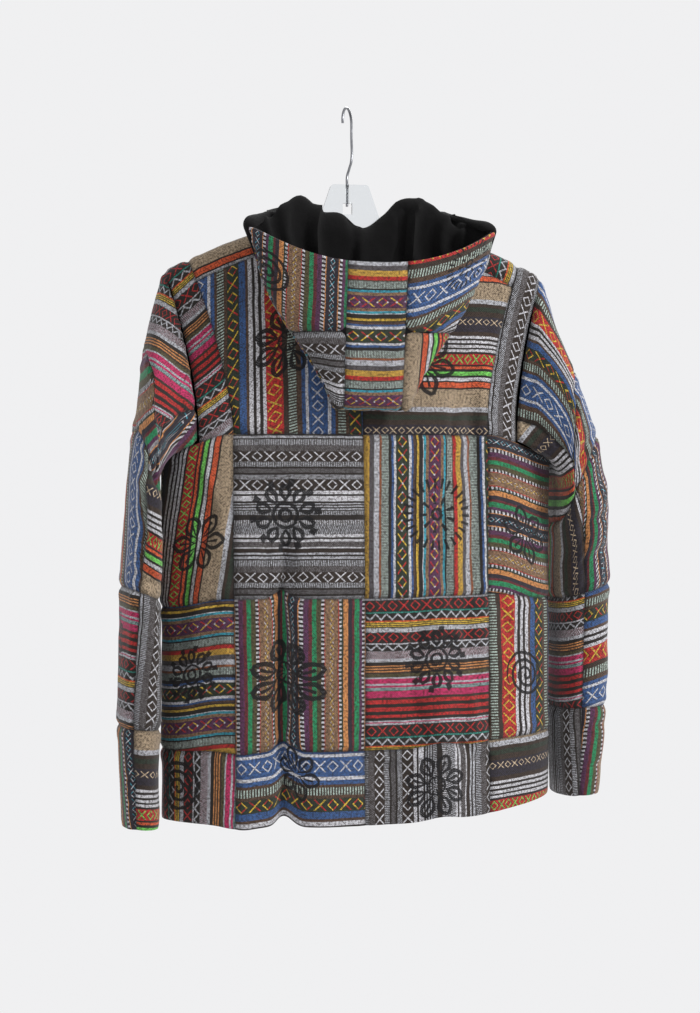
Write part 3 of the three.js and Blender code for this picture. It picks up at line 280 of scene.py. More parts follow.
BLACK, BROWN_BLACK, WHITE, LIGHT = dye(22, 20, 21), dye(38, 29, 25), dye(214, 214, 220), dye(188, 190, 197)
GREY, DARK_GREY, BROWN, DARK_BROWN = dye(120, 118, 122), dye(84, 81, 86), dye(84, 62, 48), dye(52, 39, 32)
BLUE, NAVY, CYAN, TEAL = dye(52, 92, 148), dye(34, 33, 50), dye(52, 160, 182), dye(34, 136, 124)
RED, MAROON, MAGENTA, RUST = dye(190, 36, 38), dye(104, 32, 44), dye(200, 42, 102), dye(146, 84, 52)
ORANGE, MUSTARD, YELLOW, LIME = dye(220, 92, 50), dye(204, 162, 66), dye(226, 190, 60), dye(118, 212, 94)
GREEN, DARK_GREEN, OLIVE, PURPLE = dye(22, 142, 92), dye(30, 50, 38), dye(82, 76, 48), dye(88, 44, 84)
PALE_GREEN = dye(178, 196, 186)
TAN, BEIGE, CREAM, ORANGE_TAN = dye(142, 110, 84), dye(172, 152, 126), dye(222, 198, 166), dye(214, 144, 84)

STRIPES = {
    "mono": striped_cloth("mono", 15, 2.1, [
        (2, BLACK), (3, LIGHT), (1.5, BLACK), (7, BLACK, "ticks", LIGHT), (7, BROWN_BLACK, "specks", GREY),
        (13.5, BROWN_BLACK, "crosses", WHITE), (5.5, BLACK, "ticks", LIGHT), (2, BLACK),
        (5.5, BLACK, "specks", GREY), (2, BLACK), (5.5, BLACK, "specks", LIGHT),
        (14, BROWN_BLACK, "crosses", WHITE), (4, WHITE), (2.2, BLACK), (6, WHITE), (2.2, BLACK),
        (10, BLACK, "lines", LIGHT), (4.5, BLACK, "ticks", LIGHT), (6, BLACK), (4.5, BLACK, "ticks", WHITE),
        (13, BLACK, "specks", LIGHT), (3.5, WHITE), (2.2, BLACK), (3, WHITE),
        (6, BROWN_BLACK, "specks", GREY), (2, WHITE), (5, BROWN_BLACK), (2.5, LIGHT),
    ]),
    "blue": striped_cloth("blue", 16, 3.5, [
        (5, BLUE), (3.5, BROWN), (9, DARK_BROWN, "ticks", PALE_GREEN), (4, BROWN),
        (15.5, DARK_GREEN, "crosses", YELLOW, RED), (8, BLUE), (3.5, BROWN), (5.5, WHITE), (3.5, BLACK),
        (4, WHITE), (3.7, BLACK), (4, WHITE), (20, RED, "crosses", YELLOW, MUSTARD), (6.5, DARK_BROWN),
        (10, DARK_BROWN, "ticks", PALE_GREEN), (6, BROWN), (4.5, BLUE), (3.8, WHITE), (3, BLUE),
        (16, BLUE, "crosses", WHITE), (4, BLUE), (4.2, WHITE),
    ]),
    "earth": striped_cloth("earth", 9, 5.2, [
        (5.3, TAN), (5.6, TAN, "crosses", YELLOW, WHITE), (5.1, TAN), (0.9, RED),
        (3.4, DARK_GREEN, "ticks", WHITE), (2, DARK_GREEN), (6, ORANGE_TAN), (4.8, NAVY), (2.8, MAROON),
        (6, GREEN), (3.7, PURPLE), (3.7, BLACK, "ticks", WHITE), (1.2, ORANGE_TAN), (3.8, NAVY),
        (6.6, NAVY, "crosses", WHITE, CYAN), (3.8, NAVY), (1.2, ORANGE_TAN), (4.3, BLACK, "ticks", WHITE),
        (5.5, PURPLE), (4.3, MAROON), (5.2, GREEN), (5.5, OLIVE), (3.7, BLACK, "ticks", WHITE), (1, RED),
    ]),
    "multi": striped_cloth("multi", 17, 1.9, [
        (6.5, MUSTARD), (5.6, DARK_GREY), (6.6, LIGHT), (2.7, RUST), (9, DARK_GREY, "ticks", PALE_GREEN),
        (3.8, BLACK), (2.6, BLUE), (2.6, WHITE), (1.8, DARK_GREEN),
        (13, DARK_GREEN, "crosses", RED, YELLOW, WHITE), (1.8, DARK_GREEN), (3, WHITE), (2.4, BLUE),
        (2.5, BROWN), (1.8, BLACK), (2.6, MUSTARD, "ticks", YELLOW), (5, BLACK), (1.2, WHITE), (2.8, CYAN),
        (3.6, TAN), (1, PURPLE), (12.6, PURPLE, "crosses", YELLOW, RED, WHITE), (1, PURPLE), (3.6, TAN),
        (2.8, CYAN), (2.2, BLACK), (8, DARK_GREY, "ticks", PALE_GREEN), (1.6, BROWN), (4.8, RED),
    ]),
    "red": striped_cloth("red", 14, 2.1, [
        (14, BLACK, "crosses", RED), (1.5, TEAL), (9, BLACK, "zigzag", LIGHT), (1.6, ORANGE),
        (7, OLIVE, "lines", YELLOW), (5, LIGHT), (13, BLACK, "crosses", RED), (2, LIGHT),
        (8, BLACK, "zigzag", LIGHT), (9, MAROON, "specks", LIGHT), (4, LIGHT), (4, BLACK),
        (10, DARK_BROWN, "lines", ORANGE_TAN), (4, OLIVE), (2, LIGHT), (6, MAGENTA), (2, LIGHT),
        (2.5, MAGENTA), (4, TEAL, "lines", LIGHT), (8, MAGENTA), (3, DARK_BROWN), (5, RED), (4, BLACK),
        (4.5, RED), (4, BLACK), (4, RED), (3, BLACK), (1.8, LIGHT), (1.5, MAGENTA), (2.5, LIGHT),
    ]),
    "beige": striped_cloth("beige", 10.5, 2.1, [
        (22, BEIGE), (6, LIGHT), (4.6, DARK_BROWN), (5.8, DARK_GREEN), (6.5, DARK_BROWN), (2, NAVY),
        (9.5, NAVY, "crosses", CREAM), (8, NAVY), (5.8, DARK_BROWN), (3.2, WHITE), (2.5, BLACK),
        (3.2, WHITE), (2.5, BLACK), (3.2, WHITE), (2.5, BLACK), (3.2, WHITE), (2.5, BLACK),
        (13.5, RED, "crosses", LIME), (2, BLACK), (3.5, ORANGE), (3, BLACK), (5, LIME), (2.3, BLACK),
        (4.4, WHITE), (1.6, BLACK), (6.6, ORANGE), (2.3, BLACK),
    ]),
}


# Block prints: suns, flowers, rings and spirals stamped on single patches with a carved wooden block. The
# black ink sits on the yarns' tops and misses some of the hollows, so a print is broken and its edge rough.
# This near-black is the printing ink, and also the colour of the painted shade that darkens the cloth along
# its seams.
INK_AND_SEAM_SHADE = dye(16, 15, 17)


def polar(w, radius, middle, oval):
    """Distance from the print's middle, 1 at its edge, and the share of a full turn round it."""
    cut, from_left, from_top = w.on_patch("cut")
    right = w.divided(w.minus(from_left, middle[0] / 1000), radius * oval / 1000)
    down = w.divided(w.minus(from_top, middle[1] / 1000), radius / 1000)
    square = w.plus(w.times(right, right), w.times(down, down))
    rough = w.scaled(w.noise(cut, 160.0, 3.0), 0.1, -0.05)
    turn = w.scaled(w.math("ARCTAN2", down, right), 0.5 / math.pi, 0.5)
    return w.plus(w.math("SQRT", square), rough), turn


def petals_group():
    """Outlined petals round a middle: Count of them, from Start to End, Broad at most, in lines Line wide."""
    takes = ["Distance", "Turn", "Count", "Start", "End", "Broad", "Line", "Shift"]
    tree, w, given, made = new_group("print_petals", takes, ["Mask"])
    place = w.divided(w.minus(given["Distance"], given["Start"]), w.minus(given["End"], given["Start"]))
    swell = w.math("SINE", w.times(w.math("MINIMUM", w.math("MAXIMUM", place, 0.0), 1.0), math.pi))
    cell = w.fraction(w.scaled(given["Turn"], given["Count"], given["Shift"]))
    side = w.math("ABSOLUTE", w.minus(cell, 0.5))
    outline = w.within(side, w.times(swell, given["Broad"]), given["Line"])
    w.join(w.times(outline, w.within(place, 0.5, 0.52)), made["Mask"])
    return tree


def dashes_group():
    """Dashes round a middle: Count of them, from Start to End, each filling Share of its part of the turn."""
    takes = ["Distance", "Turn", "Count", "Start", "End", "Share", "Shift"]
    tree, w, given, made = new_group("print_dashes", takes, ["Mask"])
    middle = w.times(w.plus(given["Start"], given["End"]), 0.5)
    half = w.times(w.minus(given["End"], given["Start"]), 0.5)
    cell = w.fraction(w.scaled(given["Turn"], given["Count"], given["Shift"]))
    w.join(w.times(w.within(given["Distance"], middle, half), w.below(cell, given["Share"])), made["Mask"])
    return tree


def spiral_group():
    """A line that winds out from the middle in so many Coils, as wide as the share Line of a coil's step."""
    tree, w, given, made = new_group("print_spiral", ["Distance", "Turn", "Coils", "Line"], ["Mask"])
    wound = w.fraction(w.scaled(given["Distance"], given["Coils"], given["Turn"]))
    w.join(w.times(w.below(wound, given["Line"]), w.below(given["Distance"], 1.0)), made["Mask"])
    return tree


PETALS, DASHES, SPIRAL = petals_group(), dashes_group(), spiral_group()


def petals(count, start, end, broad, line, shift=0.0):
    return PETALS, dict(Count=count, Start=start, End=end, Broad=broad, Line=line, Shift=shift)


def dashes(count, start, end, share, shift=0.0):
    return DASHES, dict(Count=count, Start=start, End=end, Share=share, Shift=shift)


def ring(start, end):
    return dashes(1.0, start, end, 1.0)


PRINTS = {
    "sun": [ring(0.29, 0.38), ring(0.12, 0.21), petals(10.0, 0.4, 0.85, 0.3, 0.15),
            dashes(10.0, 0.8, 1.0, 0.3, 0.35)],
    "flower": [ring(0.24, 0.31), dashes(10.0, 0.08, 0.24, 0.4), petals(8.0, 0.33, 1.0, 0.36, 0.12),
               dashes(8.0, 0.4, 0.8, 0.16, 0.58)],
    "dashes": [dashes(26.0, 0.72, 1.0, 0.36), dashes(9.0, 0.3, 0.52, 0.3, 0.2), ring(0.1, 0.19)],
    "petals": [petals(6.0, 0.12, 1.0, 0.38, 0.1, 0.3), dashes(6.0, 0.3, 0.75, 0.12, 0.86)],
    "spiral": [(SPIRAL, dict(Coils=3.2, Line=0.42))],
}


def print_mask(w, kind, radius, middle, oval=1.0):
    distance, turn = polar(w, radius, middle, oval)
    total = 0.0
    for tree, values in PRINTS[kind]:
        total = w.plus(w.group(tree, Distance=distance, Turn=turn, **values)["Mask"], total)
    return w.math("MINIMUM", total, 1.0)


# Painted shade in the hollows between the yarns: the cloth keeps only this share of its colour there.
HOLLOW_SHADE = (0.2, 0.185, 0.175, 1)  # how much of its colour the cloth keeps between two yarns
DUST = dye(86, 76, 68)  # the grey brown of fluff and dust on all the yarns
DUSTY = 0.13
# Painted shade along the seams: how far the cloth is darkened towards near-black where it dips into a seam.
SEAM_SHADE = 0.6


def new_material(name):
    """A new material, its wiring and its shader's sockets."""
    material = bpy.data.materials.new(name)
    material.use_nodes = True
    return material, Wiring(material.node_tree), material.node_tree.nodes["Principled BSDF"].inputs


def cloth_material(name, fabric, stamp=None):
    """One cloth, with a print if stamp gives its kind, radius and middle in mm from the patch's corner."""
    material, w, shader = new_material(name)
    _, across, along = w.on_patch("stripes")
    cloth = w.group(STRIPES[fabric], Across=across, Along=along)
    yarns = w.group(YARNS, Across=across, Along=along)
    # Painted shade between the yarns: the cloth's own colour, multiplied darker, fills the hollows of the
    # weave.
    hollow_shade = w.mix(1.0, cloth["Color"], HOLLOW_SHADE, "MULTIPLY")
    colour = w.mix(1.0, w.mix(yarns["Cover"], hollow_shade, cloth["Color"]), yarns["Shade"], "MULTIPLY")
    seam = w.add("ShaderNodeAttribute", attribute_name="seam").outputs["Fac"]
    # Painted shade: the cloth darkens towards near-black along its seams, as much as the seam attribute says.
    colour = w.mix(w.times(seam, SEAM_SHADE), w.mix(DUSTY, colour, DUST), INK_AND_SEAM_SHADE)
    if stamp:
        caught = w.scaled(yarns["Height"], 1.5, 0.02, clamp=True)
        colour = w.mix(w.times(print_mask(w, *stamp), caught), colour, INK_AND_SEAM_SHADE)
    raised = w.scaled(cloth["Mark"], 0.35, yarns["Height"])
    w.feed(shader, Base_Color=colour, Roughness=0.93, Specular_IOR_Level=0.25, Sheen_Weight=0.12,
           Sheen_Roughness=0.5, Normal=w.bump(raised, 0.6, 0.0008))
    return material


# Black fleece: a short matt pile that lines the hood and backs all of the cloth. It is knitted, so it has no
# yarns to see, only a soft cloudy nap that catches a little light at its edges.
FLEECE, w, shader = new_material("fleece_black")
place = w.add("ShaderNodeTexCoord").outputs["Object"]
nap, clouds = w.noise(place, 1300.0, 3.0), w.noise(place, 120.0, 3.0)
colour = w.mix(w.scaled(clouds, 0.7, w.times(nap, 0.3)), dye(4, 4, 4), dye(14, 13, 14))
w.feed(shader, Base_Color=colour, Roughness=0.97, Specular_IOR_Level=0.08, Sheen_Weight=0.03,
       Sheen_Roughness=0.7, Normal=w.bump(w.scaled(clouds, 1.6, nap), 0.7, 0.0007))


# The jacket's shape: a flattened ring below the arms and a tent that falls from the shoulder ridge above
# them. It is the same shape as the solids have, with the same names for its sizes.
JACKET_X = 8
HALF_WIDTH = {"right": 247, "left": 238}
HALF_DEPTH_HEM = 92
HALF_DEPTH_ARM = 72
RING_POWER = 2.2
UNDERARM_Z = -403
UNDERARM_DIP = 22
HEM = {"back": -872, "front": -862, "right": -846, "left": -868}
RIDGE_Z = -146
RIDGE_DROP = 42
RIDGE_FLAT = 70
RIDGE_RUN = 135
RIDGE_POWER = 1.6
RIDGE_RADIUS = 14
ARMHOLE_X = 157
SHOULDER_GAIN = 50
ARMHOLE_POWER = 1.6
STRIP_WIDTH = {"shoulder": 28, "foot": 40}
TENT_POWER = 0.75
YOKE_BACK = 28
YOKE_FRONT = 60
NECK_DROP = 10
FOLD_FADE = {"from": 6, "over": 40}  # the folds die out towards the side seams
# side, x, half width, depth, lift, and the heights where a fold begins, is full and is gone
FOLDS = [
    ("back", -97, 12, 17, 11, -440, -620, None),
    ("back", -52, 30, -7, 0, -430, -700, None),
    ("back", 30, 34, 6, 0, -560, -800, None),
    ("back", 92, 24, -8, 6, -560, -680, None),
    ("back", 138, 13, 12, 0, -300, -410, -640),
    ("back", -150, 24, -8, -4, -520, -760, None),
    ("front", -105, 26, 11, 5, -420, -700, None),
    ("front", 112, 28, 12, 6, -440, -720, None),
    ("front", -55, 24, -6, 0, -480, -760, None),
    ("front", 58, 24, -6, 0, -500, -780, None),
]


def lerp(a, b, k):
    return a + (b - a) * k


def smooth(k):
    k = np.clip(k, 0, 1)
    return k * k * (3 - 2 * k)


def signed_power(value, power):
    return np.sign(value) * np.abs(value) ** power


def bell(k):
    return np.exp(-k * k)


def points(x, y, z):
    return np.stack(np.broadcast_arrays(x, y, z), axis=-1).astype(float)


def column(keys, values, at):
    """A smooth curve through a table's rows."""
    keys, values = np.asarray(keys, float), np.asarray(values, float)
    last = len(keys) - 1
    i = np.searchsorted(keys[1:last], at, side="right")
    span = keys[i + 1] - keys[i]
    k = np.clip((at - keys[i]) / span, 0, 1)

    def slope(a, b):
        return (values[b] - values[a]) / (keys[b] - keys[a])

    before = slope(np.maximum(0, i - 1), i + 1)
    after = slope(i, np.minimum(last, i + 2))
    ends = (2 * k**3 - 3 * k**2 + 1) * values[i] + (3 * k**2 - 2 * k**3) * values[i + 1]
    return ends + (k**3 - 2 * k**2 + k) * span * before + (k**3 - k**2) * span * after


def with_folds(x, y, z):
    x, y, z = np.broadcast_arrays(x, y, z)
    depth, lift = np.zeros(x.shape), np.zeros(x.shape)
    for side, middle, half, deep, raised, begins, full, gone in FOLDS:
        begun = smooth((begins - z) / (begins - full))
        ended = 0 if gone is None else smooth((full - z) / (full - gone))
        near = begun * (1 - ended) * bell((x - middle) / half) * ((y < 0) == (side == "back"))
        depth = depth + deep * near
        lift = lift + raised * near
    fade = smooth((np.abs(y) - FOLD_FADE["from"]) / FOLD_FADE["over"])
    return points(JACKET_X + x, y - np.sign(y) * depth * fade, z + lift * fade)


def half_width(sign):
    return np.where(sign > 0, HALF_WIDTH["right"], HALF_WIDTH["left"])


def ring_x(angle):
    sine = np.sin(np.radians(angle))
    return signed_power(sine, 2 / RING_POWER) * half_width(sine)


def ring_y(angle, depth):
    return -signed_power(np.cos(np.radians(angle)), 2 / RING_POWER) * depth


def ring_angle(x):
    share = np.minimum(1, np.abs(x) / half_width(x))
    return np.sign(x) * np.degrees(np.arcsin(share ** (RING_POWER / 2)))


ARM_ANGLE = {1: float(ring_angle(ARMHOLE_X)), -1: float(-ring_angle(-ARMHOLE_X))}
ARM_SINE = {s: math.sin(math.radians(ARM_ANGLE[s])) for s in (1, -1)}
STRIP_ANGLE = {s: float(s * ring_angle(s * (ARMHOLE_X + STRIP_WIDTH["foot"]))) for s in (1, -1)}


def hem_z(angle):
    c, s = np.cos(np.radians(angle)), np.sin(np.radians(angle))
    ends = np.where(c > 0, HEM["back"], HEM["front"])
    return ends * c * c + np.where(s > 0, HEM["right"], HEM["left"]) * s * s


def underarm_z(angle):
    away = np.abs(np.sin(np.radians(angle)))
    start = np.where(np.asarray(angle) > 0, ARM_SINE[1], ARM_SINE[-1])
    return UNDERARM_Z - UNDERARM_DIP * smooth((away - start) / (1 - start))


def lower(angle, level):
    """Below the arms: level is -1 at the hem and 0 at the underarm."""
    z = lerp(underarm_z(angle), hem_z(angle), -level)
    depth = lerp(HALF_DEPTH_ARM, HALF_DEPTH_HEM, np.abs(level) ** 0.8)
    return with_folds(ring_x(angle), ring_y(angle, depth), z)


def ridge_z(x):
    away = np.maximum(0, np.abs(x) - RIDGE_FLAT) / RIDGE_RUN
    return RIDGE_Z - RIDGE_DROP * away**RIDGE_POWER


def column_angle(t):
    away = np.abs(t)
    arm = np.where(np.asarray(t) > 0, ARM_ANGLE[1], ARM_ANGLE[-1])
    strip = np.where(np.asarray(t) > 0, STRIP_ANGLE[1], STRIP_ANGLE[-1])
    return np.sign(t) * np.where(away <= 1, away * arm, lerp(arm, strip, away - 1))


def upper_x(t, down):
    on_back = np.clip(t, -1, 1)
    width = lerp(STRIP_WIDTH["shoulder"], STRIP_WIDTH["foot"], np.abs(down))
    widening = 1 + (SHOULDER_GAIN / ARMHOLE_X) * (1 - np.abs(down)) ** ARMHOLE_POWER
    return ring_x(column_angle(on_back)) * widening + (t - on_back) * width


def ridge_height(t):
    return ridge_z(upper_x(t, 0)) - underarm_z(column_angle(t))


def upper(t, down):
    """Above the arms: t is 1 at the right armhole strip; down is 0 on the ridge, -1 at the back underarm."""
    t, down = np.broadcast_arrays(np.asarray(t, float), np.asarray(down, float))
    angle = column_angle(t)
    height = ridge_height(t)
    fallen = np.abs(down) * height
    inside = np.clip(fallen, 0, RIDGE_RADIUS)
    bead = np.where(fallen < RIDGE_RADIUS, np.sqrt(inside * (2 * RIDGE_RADIUS - inside)), RIDGE_RADIUS)
    off = bead + (np.abs(ring_y(angle, HALF_DEPTH_ARM)) - RIDGE_RADIUS) * np.abs(down) ** TENT_POWER
    return with_folds(upper_x(t, down), np.sign(down) * off, underarm_z(angle) + height - fallen)


def t_of(x):
    return ring_angle(x) / np.where(np.asarray(x) > 0, ARM_ANGLE[1], ARM_ANGLE[-1])


# Creases of the cloth that are too fine for the solids. Each is its two ends, x and z of the jacket as it is
# seen from behind or in front, its half width and its depth; a negative depth is a ridge.
CREASES = {
    "back": [
        (-186, -300, -120, -428, 9, 2.6), (-150, -250, -96, -420, 11, -2.0),
        (-90, -455, -102, -640, 7, 3.0), (-112, -520, -120, -860, 9, -3.0), (-70, -470, -84, -600, 6, 1.6),
        (-40, -430, -66, -560, 10, 1.8), (150, -300, 120, -470, 9, 2.6), (124, -420, 118, -640, 7, 2.6),
        (60, -440, 86, -590, 8, 1.6), (100, -610, 112, -850, 9, -2.2), (76, -600, 84, -800, 8, 1.8),
        (-170, -480, -196, -760, 8, 2.4), (-130, -620, -150, -850, 7, 2.0), (-20, -640, -34, -860, 12, 1.8),
        (30, -600, 20, -760, 9, -1.6), (160, -470, 172, -800, 9, 2.2), (190, -430, 206, -700, 8, 2.0),
        (-200, -430, -178, -560, 8, -2.2), (-20, -780, 60, -806, 8, 1.8), (110, -770, 170, -800, 7, 2.0),
        (-150, -790, -60, -770, 7, 1.8), (-190, -600, -150, -620, 6, 1.8), (130, -590, 180, -606, 6, 1.6),
        (-10, -596, 90, -590, 6, 1.2),
    ],
    "front": [
        (-150, -260, -60, -420, 10, 2.4), (140, -270, 70, -440, 10, 2.4), (-110, -440, -120, -760, 8, 2.4),
        (116, -460, 124, -780, 9, 2.4), (-60, -520, -40, -840, 9, -2.0), (60, -500, 50, -840, 9, -2.0),
        (-170, -430, -150, -640, 7, 2.0), (170, -440, 150, -660, 7, 2.0), (-30, -300, -40, -560, 7, 1.6),
        (36, -300, 44, -600, 7, 1.6), (-120, -780, -40, -800, 7, 1.6), (40, -790, 130, -770, 7, 1.6),
    ],
    "left_sleeve": [
        (-252, -300, -212, -440, 8, 2.4), (-274, -420, -236, -470, 7, 3.2),
        (-282, -450, -238, -520, 6, -2.6), (-284, -500, -240, -540, 7, 3.4),
        (-262, -470, -246, -600, 7, 3.0), (-284, -560, -242, -585, 6, 2.6),
        (-286, -600, -240, -640, 6, 2.4), (-270, -610, -256, -760, 7, -2.2),
        (-284, -680, -244, -700, 6, 2.2), (-284, -770, -246, -740, 6, 2.2),
        (-286, -800, -246, -830, 6, 2.0), (-262, -350, -226, -404, 7, 2.2),
        (-240, -270, -214, -380, 7, -1.8),
    ],
    "right_sleeve": [
        (240, -280, 214, -420, 8, 2.2), (306, -390, 262, -470, 7, 3.0), (318, -440, 268, -510, 7, -2.6),
        (322, -500, 268, -530, 6, 3.0), (324, -540, 266, -580, 7, 2.6), (296, -470, 282, -640, 8, 2.4),
        (324, -620, 268, -640, 6, 2.4), (322, -690, 270, -680, 6, 2.0), (302, -640, 288, -830, 8, -2.0),
        (318, -760, 268, -780, 6, 2.2), (316, -810, 268, -830, 6, 1.8), (290, -340, 240, -380, 7, 2.0),
    ],
}
CREASES["lining"] = [
    (-47, -110, -44, -215, 6, 4.0), (76, -110, 72, -215, 6, 4.0), (-92, -120, -84, -190, 7, 2.6),
    (4, -120, 8, -215, 9, 2.0), (44, -118, 40, -205, 6, -2.4), (112, -120, 104, -200, 7, 2.6),
    (-20, -125, -16, -210, 6, -2.0), (-120, -140, -110, -180, 6, 2.2), (132, -140, 124, -185, 6, 2.2),
]
CREASE_GAIN = {"sleeve": 1.2, "body": 1.6}
CREASE_BEND = 0.12  # how far a crease bows out, as a share of its length
CREASE_END = 2.2  # how fast a crease dies out at its ends
COLLAR_Y = 10
COLLAR_FADE = 30
SOFT_WAVES = [(95.0, 2.4, 3), (42.0, 1.5, 5), (17.0, 0.6, 7)]  # size, depth and seed of the uneven waves


def uneven(at, size, seed):
    """Smooth noise from -1 to 1 at points in millimetres, the same on every run."""
    place = at / size + seed * 17.3
    cell = np.floor(place).astype(np.int64)
    share = smooth(place - cell)
    total = 0
    for corner in range(8):
        step = np.array([corner & 1, corner >> 1 & 1, corner >> 2 & 1])
        mixed = (cell + step) @ np.array([73856093, 19349663, 83492791]) + seed * 2654435
        level = ((mixed ^ (mixed >> 13)) * 1274126177 & 0xFFFFFF) / 0xFFFFFF * 2 - 1
        total = total + level * np.prod(np.where(step == 1, share, 1 - share), axis=-1)
    return total


def crumpled(at, way, region):
    """How far out of its smooth shape the cloth stands at each point."""
    out = sum(depth * uneven(at, size, seed) for size, depth, seed in SOFT_WAVES)
    gain = CREASE_GAIN["sleeve" if region.endswith("sleeve") else "body"]
    facing = smooth((way[..., 1] if region in ("front", "lining") else -way[..., 1]) * 1.6)
    if region == "lining":
        facing = facing * smooth((COLLAR_Y - at[..., 1]) / COLLAR_FADE)  # the creases stay off the collar
    for x0, z0, x1, z1, half, depth in CREASES.get(region, []):
        run = np.array([x1 - x0, z1 - z0], float)
        away = at[..., [0, 2]] - np.array([JACKET_X + x0, z0])
        share = np.clip(away @ run / (run @ run), 0, 1)
        bend = CREASE_BEND * np.linalg.norm(run) * np.sin(math.pi * share)
        off = (away[..., 0] * run[1] - away[..., 1] * run[0]) / np.linalg.norm(run) - bend * np.sign(depth)
        beyond = np.linalg.norm(away - share[..., None] * run, axis=-1)
        taper = smooth((1 - np.abs(2 * share - 1)) * CREASE_END) * (beyond < 6 * half)
        out = out - gain * depth * bell(off / half) * taper * facing
    return out


# A patch is cut from one cloth, sewn to its neighbours with the allowances turned in, and backed with fleece.
# Its edge dips into the seam, and the cloth puffs beside it and puckers along it. It is a shell with the
# thickness of the cloth and its backing.
STEP = 3.2
SEAM_REACH = 5.5
SEAM_DIP = 2.3
SEAM_PUFF = {"height": 0.8, "at": 11, "half": 5}
PUCKER = 1.0
PUCKER_LENGTH = 3.1
PUCKER_DRIFT = 11
PUCKER_REACH = {"from": 2.5, "to": 12}
FREE_EDGE = {"dip": 0.5, "reach": 1.6}
SHADE_REACH = 2.2
LINING_GAIN = 1.5


def spread(surface, across, down, step=STEP):
    """Points of a surface in rows, as close as the cloth needs. across and down are each (from, to)."""
    rough = surface(*np.meshgrid(np.linspace(*across, 12), np.linspace(*down, 12)))
    width = np.linalg.norm(np.diff(rough, axis=1), axis=-1).sum(axis=1).max()
    height = np.linalg.norm(np.diff(rough, axis=0), axis=-1).sum(axis=0).max()
    columns, rows = max(4, math.ceil(width / step)), max(4, math.ceil(height / step))
    return surface(*np.meshgrid(np.linspace(*across, columns + 1), np.linspace(*down, rows + 1)))


def outward(grid):
    """The way out of the cloth: rows run down and columns run right for someone who faces it."""
    way = np.cross(np.gradient(grid, axis=0), np.gradient(grid, axis=1))
    size = np.linalg.norm(way, axis=-1, keepdims=True)
    way = way / np.maximum(size, 1e-9)
    for _ in range(2):
        padded = np.pad(way, ((1, 1), (1, 1), (0, 0)), mode="edge")
        above_below = way * 2 + padded[:-2, 1:-1] + padded[2:, 1:-1]
        way = above_below + padded[1:-1, :-2] + padded[1:-1, 2:]
        way = way / np.maximum(np.linalg.norm(way, axis=-1, keepdims=True), 1e-9)
    return way


def flat_places(grid, straight=""):
    """Each point's place on the flat patch: millimetres to the right and down from its top left corner.
    straight names the edges, left, right or bottom, that lie along the cloth's grain."""
    steps_right = np.linalg.norm(np.diff(grid, axis=1), axis=-1)
    right = np.concatenate([np.zeros((len(grid), 1)), np.cumsum(steps_right, axis=1)], axis=1)
    share = 0.0 if "l" in straight else 1.0 if "r" in straight else 0.5
    right = right + (right[:, -1].max() - right[:, -1:]) * share
    steps_down = np.linalg.norm(np.diff(grid, axis=0), axis=-1)
    down = np.concatenate([np.zeros((1, grid.shape[1])), np.cumsum(steps_down, axis=0)], axis=0)
    if "b" in straight:
        down = down + down[-1].max() - down[-1:]
    return right, down


def seam_shade(distances):
    """1 on a sewn edge and 0 a few millimetres off it: how much painted shade darkens the cloth along its
    seams.
    """
    return np.max([bell(distance / SHADE_REACH) for distance in distances] or [0], axis=0)


def shell(grid, region, wall, seams, straight):
    """The outer and inner faces of a patch. seams names its sewn edges: top, right, bottom and left."""
    way = outward(grid)
    right, down = flat_places(grid, straight)
    reach = {
        "t": down - down[:1],
        "b": down[-1:] - down,
        "l": right - right[:, :1],
        "r": right[:, -1:] - right,
    }
    out = crumpled(grid, way, region) * (LINING_GAIN if region == "lining" else 1)
    for edge, distance in reach.items():
        along = right if edge in "tb" else down
        ripple = np.sin(along / PUCKER_LENGTH + 2 * np.sin(along / PUCKER_DRIFT)) * PUCKER
        if edge in seams:
            puff = SEAM_PUFF["height"] * bell((distance - SEAM_PUFF["at"]) / SEAM_PUFF["half"])
            out = out - SEAM_DIP * bell(distance / SEAM_REACH * 1.5) + puff
            near = bell(distance / PUCKER_REACH["to"]) - bell(distance / PUCKER_REACH["from"])
            out = out + ripple * near
        else:
            out = out - FREE_EDGE["dip"] * bell(distance / FREE_EDGE["reach"])
    outer = grid + way * out[..., None]
    shade = np.broadcast_to(seam_shade([reach[edge] for edge in seams]), right.shape)
    return outer, outer - way * wall, right, down, shade


def shell_faces(rows, columns):
    """The outer, inner and rim faces of a shell whose outer points come before its inner ones."""
    number = np.arange(rows * columns).reshape(rows, columns)
    a, b, c, d = number[:-1, :-1], number[1:, :-1], number[1:, 1:], number[:-1, 1:]
    outer = np.stack([a, b, c, d], axis=-1).reshape(-1, 4)
    inner = np.stack([a, d, c, b], axis=-1).reshape(-1, 4) + number.size
    loop = np.concatenate([number[0, :-1], number[:-1, -1], number[-1, :0:-1], number[:0:-1, 0]])
    ahead = np.roll(loop, -1)
    rim = np.stack([loop, ahead, ahead + number.size, loop + number.size], axis=-1)
    return outer, inner, rim


